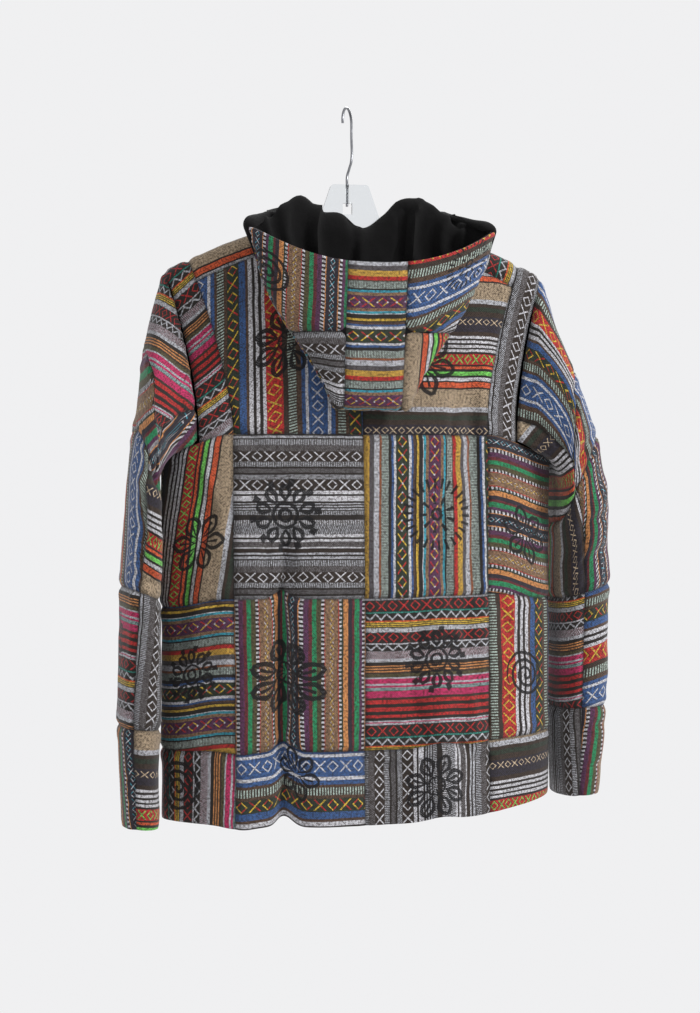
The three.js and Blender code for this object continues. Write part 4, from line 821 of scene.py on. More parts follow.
def stripe_places(grid, right, down, straight, way="up", phase=0.0, flip=False, slant=0.0, grain=None):
    """Each point's place in the cloth, in millimetres across its stripes and along them. way is "up" where
    the stripes run up the patch and "over" where they run across it. phase is the place in the cloth's repeat
    of the patch's left or top edge, or of its straight right or bottom edge; flip turns the repeat round and
    slant leans its stripes. grain is (x, z of the repeat's start, x, z of the way across the stripes) for a
    patch cut on the skew."""
    if grain:
        size = math.hypot(*grain[2:])
        across = ((grid[..., 0] - grain[0]) * grain[2] + (grid[..., 2] - grain[1]) * grain[3]) / size
        flat_grid = np.stack([right.ravel(), down.ravel(), np.ones(right.size)], axis=-1)
        lean = np.linalg.lstsq(flat_grid, across.ravel(), rcond=None)[0][:2]
        lean = lean / np.linalg.norm(lean)
        return across, right * lean[1] - down * lean[0]
    across, along = (right, down) if way == "up" else (down, right)
    if ("r" if way == "up" else "b") in straight:
        across = across - across.max()
    return phase + (-across if flip else across) + slant * along, along


def hang(name, data, solid=None):
    """Hangs a finished piece on the jacket's body, in the place of its solid if it has one."""
    piece = bpy.data.objects.new(name, data)
    bpy.context.scene.collection.objects.link(piece)
    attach(piece, "jacket")
    if solid:
        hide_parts(solid)
    return piece


def sewn(name, fabric, grids, wall=2.6, stamp=None, region="back", seams="trbl", straight="", offset=0.0,
         **lay):
    """Makes a patch from one or more grids and hangs it in its solid's place. lay is how its stripes lie."""
    vertices, faces, slots, cut, stripes, shades = [], [], [], [], [], []
    width = length = area = 0
    for grid, edges in [(g, seams) if isinstance(g, np.ndarray) else g for g in grids]:
        grid = grid + outward(grid) * offset
        outer, inner, right, down, shade = shell(grid, region, wall, edges, straight)
        front, back, rim = shell_faces(*right.shape)
        faces.extend((np.concatenate([front, back, rim]) + len(vertices)).tolist())
        slots.extend([0] * len(front) + [1] * len(back) + [0] * len(rim))
        vertices.extend(outer.reshape(-1, 3))
        vertices.extend(inner.reshape(-1, 3))
        in_stripes = stripe_places(grid, right, down, straight, **lay)
        for layer, place in ((cut, (right, down)), (stripes, in_stripes)):
            layer.append(np.tile(np.stack(place, axis=-1).reshape(-1, 2), (2, 1)))
        shades.append(np.tile(shade.ravel(), 2))
        width, length = max(width, right.max()), length + down.max()
        diagonals = np.cross(grid[1:, 1:] - grid[:-1, :-1], grid[1:, :-1] - grid[:-1, 1:])
        area += np.linalg.norm(diagonals, axis=-1).sum() / 2
    mesh = bpy.data.meshes.new(name)
    mesh.from_pydata((np.array(vertices) / 1000).tolist(), [], faces)
    corners = np.empty(len(mesh.loops), dtype=np.int32)
    mesh.loops.foreach_get("vertex_index", corners)
    for layer, places in (("cut", cut), ("stripes", stripes)):
        flat = np.concatenate(places)[corners] / 1000
        mesh.uv_layers.new(name=layer).data.foreach_set("uv", flat.astype(np.float32).ravel())
    # The seam attribute is 1 on a sewn edge and carries the painted seam shade to the cloth's material.
    seam = mesh.attributes.new("seam", "FLOAT", "POINT")
    seam.data.foreach_set("value", np.concatenate(shades).astype(np.float32))
    if fabric == "fleece":
        mesh.materials.append(FLEECE)
    else:
        mesh.materials.append(cloth_material(f"{name}_cloth", fabric, stamp))
        mesh.materials.append(FLEECE)
        mesh.polygons.foreach_set("material_index", slots)
    mesh.polygons.foreach_set("use_smooth", [True] * len(faces))
    mesh.set_sharp_from_angle(angle=math.radians(60))
    piece = hang(f"{name}_sewn", mesh, name)
    width, length, area = width / 1000, length / 1000, area / 1e6


# The body below the arms: three rows of patches on the back and the fronts, and at each side a column that
# wraps under the arm. They are sewn edge to edge, and the hem's edge is turned in and hangs free.
HEM_LEVEL = -0.81
LOW_LEVEL = -0.422
ROWS = {"middle": (0, LOW_LEVEL), "lower": (LOW_LEVEL, HEM_LEVEL), "hem": (HEM_LEVEL, -1)}
FRONT_EDGE = 5  # from the zip's middle to the fronts' edges


def body_patch(part, row, fabric, **how):
    arm = {"left": ARM_ANGLE[-1], "right": ARM_ANGLE[1]}
    zip_angle = {"left": float(-ring_angle(-FRONT_EDGE)), "right": float(ring_angle(FRONT_EDGE))}
    angles = {
        "back_left": (-arm["left"], 0),
        "back_right": (0, arm["right"]),
        "left_side": (-180 + arm["left"], -arm["left"]),
        "right_side": (arm["right"], 180 - arm["right"]),
        "left_front": (-180 + zip_angle["left"], -180 + arm["left"]),
        "right_front": (180 - arm["right"], 180 - zip_angle["right"]),
    }[part]
    seams = "trl" if row == "hem" else "trbl"
    region = "front" if part.endswith("front") else "back"
    sewn(f"{part}_{row}", fabric, [spread(lower, angles, ROWS[row])], region=region, seams=seams, **how)


body_patch("back_left", "middle", "mono", way="over", stamp=("sun", 44, (71, 98)))
body_patch("back_right", "middle", "multi", stamp=("dashes", 44, (92, 97)))
body_patch("back_left", "lower", "earth", phase=64, stamp=("flower", 44, (74, 98), 1.3))
body_patch("back_right", "lower", "red", way="over", phase=-2, stamp=("sun", 40, (88, 76)))
body_patch("back_left", "hem", "blue", way="over", phase=114, stamp=("petals", 30, (90, 30)))
body_patch("back_right", "hem", "mono", phase=10, stamp=("flower", 38, (86, 50)))
body_patch("left_side", "middle", "beige", phase=64, slant=0.15, stamp=("petals", 34, (180, 120)))
body_patch("left_side", "lower", "multi", way="over", phase=60, stamp=("sun", 34, (176, 84)))
body_patch("left_side", "hem", "red", phase=20, stamp=("spiral", 32, (160, 44)))
body_patch("right_side", "middle", "earth", way="over", phase=50, stamp=("petals", 34, (54, 110)))
body_patch("right_side", "lower", "blue", phase=109, flip=True, stamp=("spiral", 29, (54, 96)))
body_patch("right_side", "hem", "beige", way="over", phase=20)
body_patch("left_front", "middle", "red", phase=15)
body_patch("left_front", "lower", "blue", way="over", phase=50, stamp=("flower", 38, (80, 80)))
body_patch("left_front", "hem", "earth", phase=30)
body_patch("right_front", "middle", "blue", way="over", phase=100, stamp=("sun", 40, (76, 100)))
body_patch("right_front", "lower", "beige", phase=20)
body_patch("right_front", "hem", "multi", way="over", phase=10)


# The yoke, the shoulders and the chest: the back's top patches, pieces that lap over the ridge from the back
# seam to the chest, and the fronts' top patches, whose upper edge is the neck.
BACK_COLUMNS = [0, 14, 28, 42, 55, 70, 85, 97, 109, 126, 138, ARMHOLE_X]
FRONT_COLUMNS = [5, 16, 27, 37, 54, 71, 88, 105, 122, 139, ARMHOLE_X]
NECK_COLUMN = {"back": 4, "front": 3}
SHOULDER_ROWS = [-YOKE_BACK, -14, -5, 0, 5, 14, 30, 45, YOKE_FRONT]
NECK_OVER = [-28, -10, 10, 35, 60]
NECK_X = [55, 60, 62, 56, 37]


def at_index(values, place):
    return np.interp(place, range(len(values)), values)


def yoke(x, k):
    t = t_of(x)
    return upper(t, -lerp(YOKE_BACK / ridge_height(t), 1, k))


def shoulder(sign, k, over):
    share = (over + YOKE_BACK) / (YOKE_FRONT + YOKE_BACK)
    on_back = at_index(BACK_COLUMNS, NECK_COLUMN["back"] + k)
    plain = lerp(on_back, at_index(FRONT_COLUMNS, NECK_COLUMN["front"] + k), share)
    inner = lerp(BACK_COLUMNS[NECK_COLUMN["back"]], FRONT_COLUMNS[NECK_COLUMN["front"]], share)
    pushed = (column(NECK_OVER, NECK_X, over) - inner) * np.maximum(0, 1 - k / 5)
    t = t_of(sign * (plain + pushed))
    return upper(t, over / ridge_height(t))


def chest(sign, x, k):
    t = t_of(sign * x)
    dropped = NECK_DROP * np.maximum(0, 1 - (x / FRONT_COLUMNS[NECK_COLUMN["front"]]) ** 2)
    return upper(t, lerp((YOKE_FRONT + dropped) / ridge_height(t), 1, k))


SHOULDER_CELLS = len(BACK_COLUMNS) - 1 - NECK_COLUMN["back"]
TINY = 1e-6  # keeps the middle column on its own side
sewn("back_left_yoke", "blue", [spread(yoke, (-ARMHOLE_X, -TINY), (0, 1))], phase=39, straight="r",
     stamp=("flower", 42, (116, 114)))
sewn("back_right_yoke", "beige", [spread(yoke, (TINY, ARMHOLE_X), (0, 1))], way="over", phase=57,
     straight="b", stamp=("petals", 40, (96, 146)))
for sign, side, fabric, how in (
    (-1, "left", "beige", dict(way="over", phase=124, flip=True, straight="b")),
    (1, "right", "red", dict(phase=39, straight="r")),
):
    ks = (0, SHOULDER_CELLS)[::sign]
    lap = spread(lambda k, over: shoulder(sign, k, over), ks, (YOKE_FRONT, -YOKE_BACK))
    sewn(f"{side}_front_shoulder", fabric, [lap], region="top", **how)
for sign, side, fabric, how in (
    (-1, "left", "mono", dict(way="over", stamp=("sun", 36, (80, 90)))),
    (1, "right", "multi", dict(stamp=("petals", 36, (78, 90)))),
):
    front = spread(lambda x, k: chest(sign, x, k), (ARMHOLE_X, FRONT_EDGE)[::sign], (0, 1))
    sewn(f"{side}_front_chest", fabric, [front], phase=12, region="front", **how)


# The sleeves: a strip of cloth sewn round each armhole, then an outer and an inner run of patches, sewn edge
# to edge down to the cuff, whose edge is turned in and hangs free.
SLEEVE_PLACES = [0.1, 0.2, 0.3, 0.4, 0.5, 0.66, 0.82, 1]  # along the sleeve, for each column of its table
SLEEVE_TABLES = {
    "right": {
        "out_x": [242, 262, 290, 312, 322, 324, 319, 311],
        "out_z": [-222, -285, -362, -425, -502, -604, -722, -847],
        "in_x": [256, 257, 256, 255, 255, 256, 256, 257],
        "in_z": [-448, -472, -496, -522, -554, -620, -728, -850],
        "mid_y": [-2, 0, 3, 8, 14, 16, 12, 8],
        "half_y": [62, 70, 76, 76, 74, 69, 61, 52],
        "lean": [0, 2, 5, 5, 0, 0, 0, 0],
    },
    "left": {
        "out_x": [238, 254, 267, 278, 285, 291, 293, 288],
        "out_z": [-217, -277, -352, -427, -505, -606, -735, -870],
        "in_x": [247, 248, 247, 245, 243, 243, 244, 245],
        "in_z": [-447, -470, -493, -519, -550, -618, -740, -872],
        "mid_y": [-6, -12, -20, -30, -36, -40, -40, -38],
        "half_y": [62, 70, 74, 74, 72, 68, 60, 51],
        "lean": [2, 3, 6, 6, 5, 3, 0, 0],
    },
}
ARMHOLE_BLEND = 0.22
BACK_SHARE = 0.36
BACK_TURN = 0.32
SLEEVE_SQUARENESS = {"along": 0.72, "across": 0.85}
SAG = 1.6
# place along and round the sleeve, half sizes and depth of the folds that the solids have too
SLEEVE_FOLDS = {
    "right": [(0.38, 0.32, 0.06, 0.14, 6), (0.47, 0.62, 0.05, 0.1, 6), (0.56, 0.2, 0.04, 0.12, 5),
              (0.74, 0.33, 0.05, 0.12, 4)],
    "left": [(0.34, 0.26, 0.05, 0.16, 5), (0.46, 0.3, 0.05, 0.13, -5), (0.61, 0.28, 0.05, 0.15, 5),
             (0.8, 0.2, 0.05, 0.12, 4)],
}
SLEEVE_WALL = 2.0
ELBOW_SEAM = 0.36
OUTER_SEAM = {"right": (0.31, 0.31), "left": (0.29, 0.23)}  # above and below the elbow seam


def armhole(side, w):
    sign = 1 if side == "right" else -1
    down = np.where(w < 0.5, -w / BACK_SHARE, (1 - w) / BACK_SHARE)
    edge = upper(2.0 * sign, np.clip(down, -1, 1))
    k = np.clip((w - BACK_SHARE) / (1 - 2 * BACK_SHARE), 0, 1)
    under = lower(sign * lerp(STRIP_ANGLE[sign], 180 - STRIP_ANGLE[sign], k), np.zeros(np.shape(w)))
    return np.where((np.abs(w - 0.5) < 0.5 - BACK_SHARE)[..., None], under, edge)


def sleeve(side, w, s):
    """w runs from the shoulder down the back, under the arm and up the front; s runs to the cuff."""
    w = np.mod(w, 1)
    at = np.maximum(SLEEVE_PLACES[0], s)
    value = {name: column(SLEEVE_PLACES, row, at) for name, row in SLEEVE_TABLES[side].items()}
    half = np.minimum(w, 1 - w)
    turn = np.where(half < BACK_SHARE, half * BACK_TURN / BACK_SHARE,
                    BACK_TURN + (half - BACK_SHARE) * (0.5 - BACK_TURN) / (0.5 - BACK_SHARE))
    turn = np.where(w > 0.5, 1 - turn, turn)
    sag = lerp(SAG, 1, smooth((at - 0.1) / 0.3))
    along = signed_power(np.cos(2 * math.pi * turn), SLEEVE_SQUARENESS["along"])
    across = signed_power(np.sin(2 * math.pi * turn), SLEEVE_SQUARENESS["across"])
    x = lerp(value["in_x"], value["out_x"], (1 + along) / 2) - value["lean"] * np.maximum(0, across) ** 2
    z = lerp(value["in_z"], value["out_z"], ((1 + along) / 2) ** sag)
    sign = 1 if side == "right" else -1
    tube = points(JACKET_X + sign * x, value["mid_y"] - value["half_y"] * across, z)
    middle_x, middle_z = (value["in_x"] + value["out_x"]) / 2, (value["in_z"] + value["out_z"]) / 2
    centre = points(JACKET_X + sign * middle_x, value["mid_y"], middle_z)
    for place, round_at, long, wide, depth in SLEEVE_FOLDS[side]:
        away = np.abs(np.mod(turn - round_at + 1.5, 1) - 0.5)
        size = depth * bell((s - place) / long) * bell(away / wide)
        out = tube - centre
        tube = tube - out / np.linalg.norm(out, axis=-1, keepdims=True) * size[..., None]
    return lerp(armhole(side, w), tube, smooth(s / ARMHOLE_BLEND)[..., None])


def sleeve_patch(side, piece, fabric, run, **how):
    """A patch of the sleeve. run is its stretch from the shoulder to the cuff."""
    seam = OUTER_SEAM[side][1 if run[0] >= ELBOW_SEAM else 0]
    around = (-seam, seam) if piece.endswith("outer") else (seam, 1 - seam)
    if side == "right":
        around = around[::-1]
    grid = spread(lambda w, s: sleeve(side, w, s), around, run)
    seams = "trl" if piece.startswith("cuff") else "trbl"
    region = f"{side}_sleeve"
    sewn(f"{region}_{piece}", fabric, [grid], wall=SLEEVE_WALL, region=region, seams=seams, **how)


for side, fabric, ts, how in (
    ("left", "red", (-2, -1), dict(way="over", phase=-237)),
    ("right", "mono", (1, 2), {}),
):
    sewn(f"{side}_sleeve_strip", fabric, [spread(upper, ts, (1, -1))], region="top", **how)

CAP_SEAM, FOREARM_SEAM, CUFF_SEAM = 0.24, 0.63, 0.84
CAP, SECOND, UPPER = (0, CAP_SEAM), (CAP_SEAM, ELBOW_SEAM), (0, ELBOW_SEAM)
ELBOW, FOREARM, CUFF = (ELBOW_SEAM, FOREARM_SEAM), (FOREARM_SEAM, CUFF_SEAM), (CUFF_SEAM, 1)
sleeve_patch("left", "upper_outer", "red", CAP, grain=(-180, -237, -0.545, -0.84))
sleeve_patch("left", "second_outer", "earth", SECOND, grain=(-221, -312, 0.77, -0.63))
sleeve_patch("left", "upper_inner", "earth", UPPER, grain=(-221, -312, 0.77, -0.63))
sleeve_patch("left", "elbow_outer", "blue", ELBOW)
sleeve_patch("left", "elbow_inner", "beige", ELBOW, grain=(-229, -427, -0.5, -0.87))
sleeve_patch("left", "forearm_outer", "red", FOREARM, way="over", phase=70, stamp=("flower", 34, (70, 60)))
sleeve_patch("left", "forearm_inner", "mono", FOREARM)
sleeve_patch("left", "cuff_outer", "earth", CUFF, phase=40)
sleeve_patch("left", "cuff_inner", "beige", CUFF, way="over")
sleeve_patch("right", "upper_outer", "blue", CAP, phase=90)
sleeve_patch("right", "second_outer", "blue", SECOND, phase=20)
sleeve_patch("right", "upper_inner", "beige", UPPER, grain=(219, -357, 0.77, -0.64))
sleeve_patch("right", "elbow_outer", "earth", ELBOW)
sleeve_patch("right", "elbow_inner", "beige", ELBOW, phase=30)
sleeve_patch("right", "forearm_outer", "blue", FOREARM, way="over")
sleeve_patch("right", "forearm_inner", "red", FOREARM, way="over", phase=20)
sleeve_patch("right", "cuff_outer", "earth", CUFF, phase=60)
sleeve_patch("right", "cuff_inner", "mono", CUFF, phase=60)


# The hood hangs down the back as a pouch. One sheet comes up from the neck's edge, over a roll, down the
# inner side of the pouch and up its outer side to the rim. Its outer side is four patches and a centre strip,
# and fleece lines all of it, shows on the roll and above the rim, and is turned over the two end edges.
HOOD_X = 14
HOOD_POWER = 2.4
HOOD_Z = [-378, -330, -280, -245, -203, -155, -118]
HOOD_HALF = [46, 67, 99, 120, 138, 150, 152]
HOOD_DEPTH = [18, 24, 32, 39, 44, 42, 38]
HOOD_INNER = [-73, -66, -58, -52, -48, -54, -56]
HOOD_BOTTOM_RADIUS = 18
HOOD_CROSS_SEAM = -284
HOOD_STRIP = 36
HOOD_RIM = {"middle": -203, "rise": 43, "power": 2.4}
ROLL_X = [-145, -125, -104, -72, -46, -15, 12, 42, 60, 95, 120, 150, 166]
ROLL_Z = [-150, -143, -140, -119, -134, -138, -151, -136, -122, -124, -142, -150, -152]
ROLL_DROP = 16
ROLL_LEAST = 8
STAND_RISE = 30
HOOD_WALL = 2.2
LINING_WALL = 2.0
COLLAR_HEIGHT = 44
COLLAR_SPREAD = {"x": 84, "y": 58, "z": -134}  # the point that pulls the collar's free edge outward
WING_LEAVES = {"in": 2, "y": 6, "z": -128}  # the point that its edge heads for where it leaves the roll
END = 15
TIP = 7
STRIP_COLUMNS = 2


def neck(j):
    """The neck's edge: j is 0 at the middle of the back and 15 at the zip."""
    away = np.abs(j)
    sign = np.where(j >= 0, 1.0, -1.0)
    back = yoke(sign * np.maximum(TINY, at_index(BACK_COLUMNS, np.minimum(away, 4))), np.zeros(np.shape(j)))
    side = shoulder(sign, np.zeros(np.shape(j)), at_index(SHOULDER_ROWS, np.clip(away - 4, 0, 8)))
    front = chest(sign, at_index(FRONT_COLUMNS, np.clip(END - away, 0, 3)), np.zeros(np.shape(j)))
    return np.where((away <= 4)[..., None], back, np.where((away <= 12)[..., None], side, front))


def pouch(j, facing, z):
    j, z = np.broadcast_arrays(np.asarray(j, float), np.asarray(z, float))
    held = np.maximum(HOOD_Z[0], z)
    half, deep = column(HOOD_Z, HOOD_HALF, held), column(HOOD_Z, HOOD_DEPTH, held)
    middle = column(HOOD_Z, HOOD_INNER, held) - deep
    rounding = np.clip((z - HOOD_Z[0]) / HOOD_BOTTOM_RADIUS, 0, 1)
    depth = deep * np.sqrt(1 - (1 - rounding) ** 2)
    edge = np.arccos((HOOD_STRIP / half) ** (HOOD_POWER / 2))
    away = np.abs(j)
    angle = edge * (1 - np.clip((away - STRIP_COLUMNS) / (TIP - STRIP_COLUMNS), 0, 1))
    beside = half * np.cos(angle) ** (2 / HOOD_POWER)
    across = np.where(away > STRIP_COLUMNS, beside, HOOD_STRIP * away / STRIP_COLUMNS)
    out = np.maximum(0, 1 - np.minimum(1, across / half) ** HOOD_POWER) ** (1 / HOOD_POWER)
    return points(HOOD_X + np.sign(j) * across, middle + facing * depth * out, z)


def pouch_top(j, facing):
    x = pouch(j, 1, -160)[..., 0]
    rim = HOOD_RIM["middle"] + HOOD_RIM["rise"] * np.clip(np.abs(x - HOOD_X) / 150, 0, 1) ** HOOD_RIM["power"]
    if facing < 0:
        return rim
    roll = column(ROLL_X, ROLL_Z, x) - HOOD_WALL - LINING_WALL - ROLL_DROP
    return lerp(roll, rim, smooth((np.abs(j) - 5) / (TIP - 5)))


def bezier(controls, share):
    """A curve of three or four control points at a share of its way."""
    share = np.asarray(share)[..., None]
    count = len(controls) - 1
    parts = [math.comb(count, i) * share**i * (1 - share) ** (count - i) for i in range(count + 1)]
    return sum(part * control for part, control in zip(parts, controls))


def arch(j, share):
    j, share = np.broadcast_arrays(np.asarray(j, float), np.asarray(share, float))
    foot, end = neck(j), pouch(j, 1, pouch_top(j, 1))
    roll = column(ROLL_X, ROLL_Z, end[..., 0]) - HOOD_WALL - LINING_WALL
    crest = np.maximum(roll, np.maximum(foot[..., 2], end[..., 2]) + ROLL_LEAST)
    rise = (crest - (foot[..., 2] + end[..., 2]) / 2) / 0.75
    up = points(0, 0, rise)
    return bezier([foot, foot + up, end + up, end], share)


def stand(j, share):
    j, share = np.broadcast_arrays(np.asarray(j, float), np.asarray(share, float))
    sign = np.where(j >= 0, 1.0, -1.0)
    away = np.abs(j)
    start = arch(sign * TIP, np.full(j.shape, 0.5))
    end = neck(sign * END) + points(sign * 2, 4, COLLAR_HEIGHT)
    leaving = points(start[..., 0] - sign * WING_LEAVES["in"], WING_LEAVES["y"], WING_LEAVES["z"])
    arriving = points(JACKET_X + sign * COLLAR_SPREAD["x"], COLLAR_SPREAD["y"], COLLAR_SPREAD["z"])
    edge = bezier([start, leaving, arriving, end], np.clip((away - TIP) / (END - TIP), 0, 1))
    foot = neck(j)
    wing = bezier([foot, foot + points(0, 0, STAND_RISE), edge], share)
    return np.where((away <= TIP)[..., None], arch(j, share / 2), wing)


def hood_sheet(j, place):
    """The whole sheet by its place: 0 at the rim, 1 at the cross seam, 2 at the bottom, 3 at the cross seam
    on the inner side, 4 at its top, 5 on the roll's crest and 6 at the neck."""
    j, place = np.broadcast_arrays(np.asarray(j, float), np.asarray(place, float))

    def near_bottom(k):
        return lerp(HOOD_CROSS_SEAM, HOOD_Z[0], np.sin(k * math.pi / 2))

    stages = [
        pouch(j, -1, lerp(pouch_top(j, -1), HOOD_CROSS_SEAM, place)),
        pouch(j, -1, near_bottom(np.clip(place - 1, 0, 1))),
        pouch(j, 1, near_bottom(np.clip(3 - place, 0, 1))),
        pouch(j, 1, lerp(HOOD_CROSS_SEAM, pouch_top(j, 1), np.clip(place - 3, 0, 1))),
        arch(j, np.clip(1 - (place - 4) / 2, 0.5, 1)),
        stand(j, np.clip(6 - place, 0, 1)),
    ]
    stage = np.clip(np.floor(place), 0, 5)
    result = stages[5]
    for i in range(5):
        result = np.where((stage == i)[..., None], stages[i], result)
    return result


def wing_sheet(j, place):
    """The collar's wing by its place: 0 at its free edge and 1 at the neck."""
    return stand(j, 1 - place)


def hood_patch(name, fabric, js, places, **how):
    sewn(name, fabric, [spread(hood_sheet, js, places, 2.8)], wall=HOOD_WALL, region="hood", **how)


LEFT, STRIP, RIGHT = (-TIP, -STRIP_COLUMNS), (-STRIP_COLUMNS, STRIP_COLUMNS), (STRIP_COLUMNS, TIP)
hood_patch("hood_left_upper", "earth", LEFT, (0, 1), phase=39, flip=True, straight="r", seams="rbl",
           stamp=("spiral", 30, (38, 50)))
hood_patch("hood_centre_strip", "multi", STRIP, (0, 2), way="over", phase=17, flip=True, seams="rbl")
hood_patch("hood_right_upper", "blue", RIGHT, (0, 1), way="over", phase=86, seams="rbl",
           stamp=("dashes", 30, (84, 24)))
hood_patch("hood_left_lower", "mono", LEFT, (1, 2), way="over", phase=6)
hood_patch("hood_right_lower", "beige", RIGHT, (1, 2), phase=20, flip=True, straight="l")
for side, fabric, inner, outer, free in (
    ("left", "multi", (-TIP, 0), (-END, -TIP), "bl"),
    ("right", "red", (0, TIP), (TIP, END), "br"),
):
    centre, wing = spread(hood_sheet, inner, (2, 6), 3.6), spread(wing_sheet, outer, (0, 1), 3.6)
    sewn(f"hood_neck_{side}", fabric, [(centre, "tb"), (wing, free)], wall=HOOD_WALL, region="hood",
         way="over")

EDGE_ROLL = {"thick": 5.0, "swell": 6.0, "turn": 1.9, "in": 3, "back": 1.5}
EDGE_RUN = (3.7, 5.5)  # the places of the hood's sheet where the roll begins and ends
LINING_GAP = 0.3


def edge_roll(sign):
    """The fleece turned over the hood's end edge, from inside the pouch up to the neck, as one soft roll."""
    places = np.linspace(*EDGE_RUN, 30)
    js = (TIP - 0.4, TIP) if sign > 0 else (-TIP, -TIP + 0.4)
    strip = hood_sheet(*np.meshgrid(js, places))
    end = 1 if sign > 0 else 0
    side = strip[:, end] - strip[:, 1 - end]
    side = side / np.linalg.norm(side, axis=-1, keepdims=True)
    way = outward(strip)[:, end]
    thick = EDGE_ROLL["thick"] + EDGE_ROLL["swell"] * np.sin(math.pi * np.linspace(0, 1, 30))
    turns = sign * np.linspace(EDGE_ROLL["turn"], -EDGE_ROLL["turn"], 11)
    centre = strip[:, end] - way * EDGE_ROLL["back"] - side * EDGE_ROLL["in"]
    round_it = side[:, None] * np.cos(turns)[None, :, None] + way[:, None] * np.sin(turns)[None, :, None]
    return centre[:, None] + round_it * thick[:, None, None]


lining = [spread(hood_sheet, (-TIP, TIP), places, 3.0) for places in ((0, 1.6), (2.4, 5.8))]
lining += [spread(wing_sheet, js, (0, 0.8), 3.4) for js in ((-END, -TIP), (TIP, END))]
lining += [edge_roll(-1), edge_roll(1)]
sewn("hood_lining", "fleece", lining, wall=LINING_WALL, region="lining", seams="",
     offset=-HOOD_WALL - LINING_GAP)


# The zip: two woven tapes behind the fronts' edges, a row of moulded teeth on each, and the slider with its
# tab, which keep their solids and are only given worn steel.
def plain_material(name, colour, roughness, metallic=0.0, grain=0.0):
    """A finish of one colour with wear, and with a fine grain if it is woven."""
    material, w, shader = new_material(name)
    place = w.add("ShaderNodeTexCoord").outputs["Object"]
    wear = w.noise(place, 220.0, 4.0)
    dark = tuple(c * 0.72 for c in colour[:3]) + (1,)
    w.feed(shader, Base_Color=w.mix(wear, dark, colour), Roughness=w.scaled(wear, 0.22, roughness - 0.1),
           Metallic=metallic)
    if grain:
        w.feed(shader, Normal=w.bump(w.noise(place, 1800.0), grain, 0.0004))
    return material


def finish_solid(name, material, width, segments):
    """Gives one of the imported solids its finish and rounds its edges."""
    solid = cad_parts[name]
    solid.data.materials.clear()
    solid.data.materials.append(material)
    rounding = solid.modifiers.new("rounded_edges", "BEVEL")
    rounding.width = width
    rounding.segments = segments
    rounding.limit_method = "ANGLE"


STEEL = plain_material("steel_bright", dye(128, 129, 133), 0.32, 1.0)
TAPE = plain_material("zip_tape_black", dye(26, 26, 28), 0.85, 0.0, 0.8)
TEETH = plain_material("zip_teeth_dark", dye(58, 56, 54), 0.4, 0.8)
TAPE_WIDTH = 14
TAPE_EDGE = 1.5
TAPE_TOP = YOKE_FRONT + NECK_DROP + 3
TAPE_DEPTHS = (3.0, 4.2)  # of its two faces, behind the fronts' outer face
TOOTH = {"pitch": 3.0, "height": 1.7, "thickness": 2.2}
TOOTH_SECTIONS = [(-0.9, 0.75), (1.2, 1.0), (2.9, 0.7)]  # place across the zip, share of the full size


def zip_place(sign, x, place):
    """place is 0 at the top of the zip, 1 at the underarm and 2 at the hem."""
    x, place = np.broadcast_arrays(np.asarray(x, float), np.asarray(place, float))
    t = t_of(sign * x)
    high = upper(t, lerp(TAPE_TOP / ridge_height(t), 1, np.clip(place, 0, 1)))
    low = lower(sign * 180 - ring_angle(sign * x), -np.clip(place - 1, 0, 1))
    return np.where((place <= 1)[..., None], high, low)


for sign, side in ((-1, "left"), (1, "right")):
    xs = (TAPE_EDGE, TAPE_EDGE + TAPE_WIDTH)[::-sign]
    tape = spread(lambda x, place: zip_place(sign, x, place), xs, (0, 2), 3.4)
    way = outward(tape)
    both = np.stack([tape - way * depth for depth in TAPE_DEPTHS]).reshape(-1, 3) / 1000
    mesh = bpy.data.meshes.new(f"{side}_zip_tape")
    mesh.from_pydata(both.tolist(), [], np.concatenate(shell_faces(*tape.shape[:2])).tolist())
    mesh.materials.append(TAPE)
    piece = hang(f"{side}_zip_tape_woven", mesh, f"{side}_zip_tape")

zip_line = spread(lambda x, place: zip_place(1, x, place), (0.4, 0.5), (0.02, 1.985), 1.0)[:, 0]
run = np.concatenate([[0], np.cumsum(np.linalg.norm(np.diff(zip_line, axis=0), axis=-1))])
tooth_vertices, tooth_faces = [], []
for i, distance in enumerate(np.arange(2.0, run[-1] - 2, TOOTH["pitch"] / 2)):
    middle, ahead = [
        np.array([np.interp(place, run, zip_line[:, axis]) for axis in range(3)])
        for place in (distance, distance + 2)
    ]
    along = (ahead - middle) / np.linalg.norm(ahead - middle)
    side = 1 if i % 2 else -1
    out = np.cross(along, [1.0, 0, 0])
    out = out / np.linalg.norm(out)
    middle[0] = JACKET_X
    base = len(tooth_vertices)
    for across, share in TOOTH_SECTIONS:
        for high, proud in ((-0.5, 0), (0.5, 0), (0.5, 1), (-0.5, 1)):
            depth = proud * TOOTH["thickness"] * share - TAPE_DEPTHS[0]
            corner = along * high * TOOTH["height"] * share + out * depth
            tooth_vertices.append(middle + np.array([side * across, 0, 0]) + corner)
    for first in (base, base + 4):
        for k in range(4):
            n = (k + 1) % 4
            tooth_faces.append([first + k, first + n, first + 4 + n, first + 4 + k])
    tooth_faces.append([base + k for k in (3, 2, 1, 0)])
    tooth_faces.append([base + 8 + k for k in (0, 1, 2, 3)])
mesh = bpy.data.meshes.new("zip_teeth")
mesh.from_pydata((np.array(tooth_vertices) / 1000).tolist(), [], tooth_faces)
mesh.materials.append(TEETH)
hang("zip_teeth", mesh)

for name in ("zip_slider", "zip_pull_tab"):
    finish_solid(name, STEEL, 0.0003, 2)


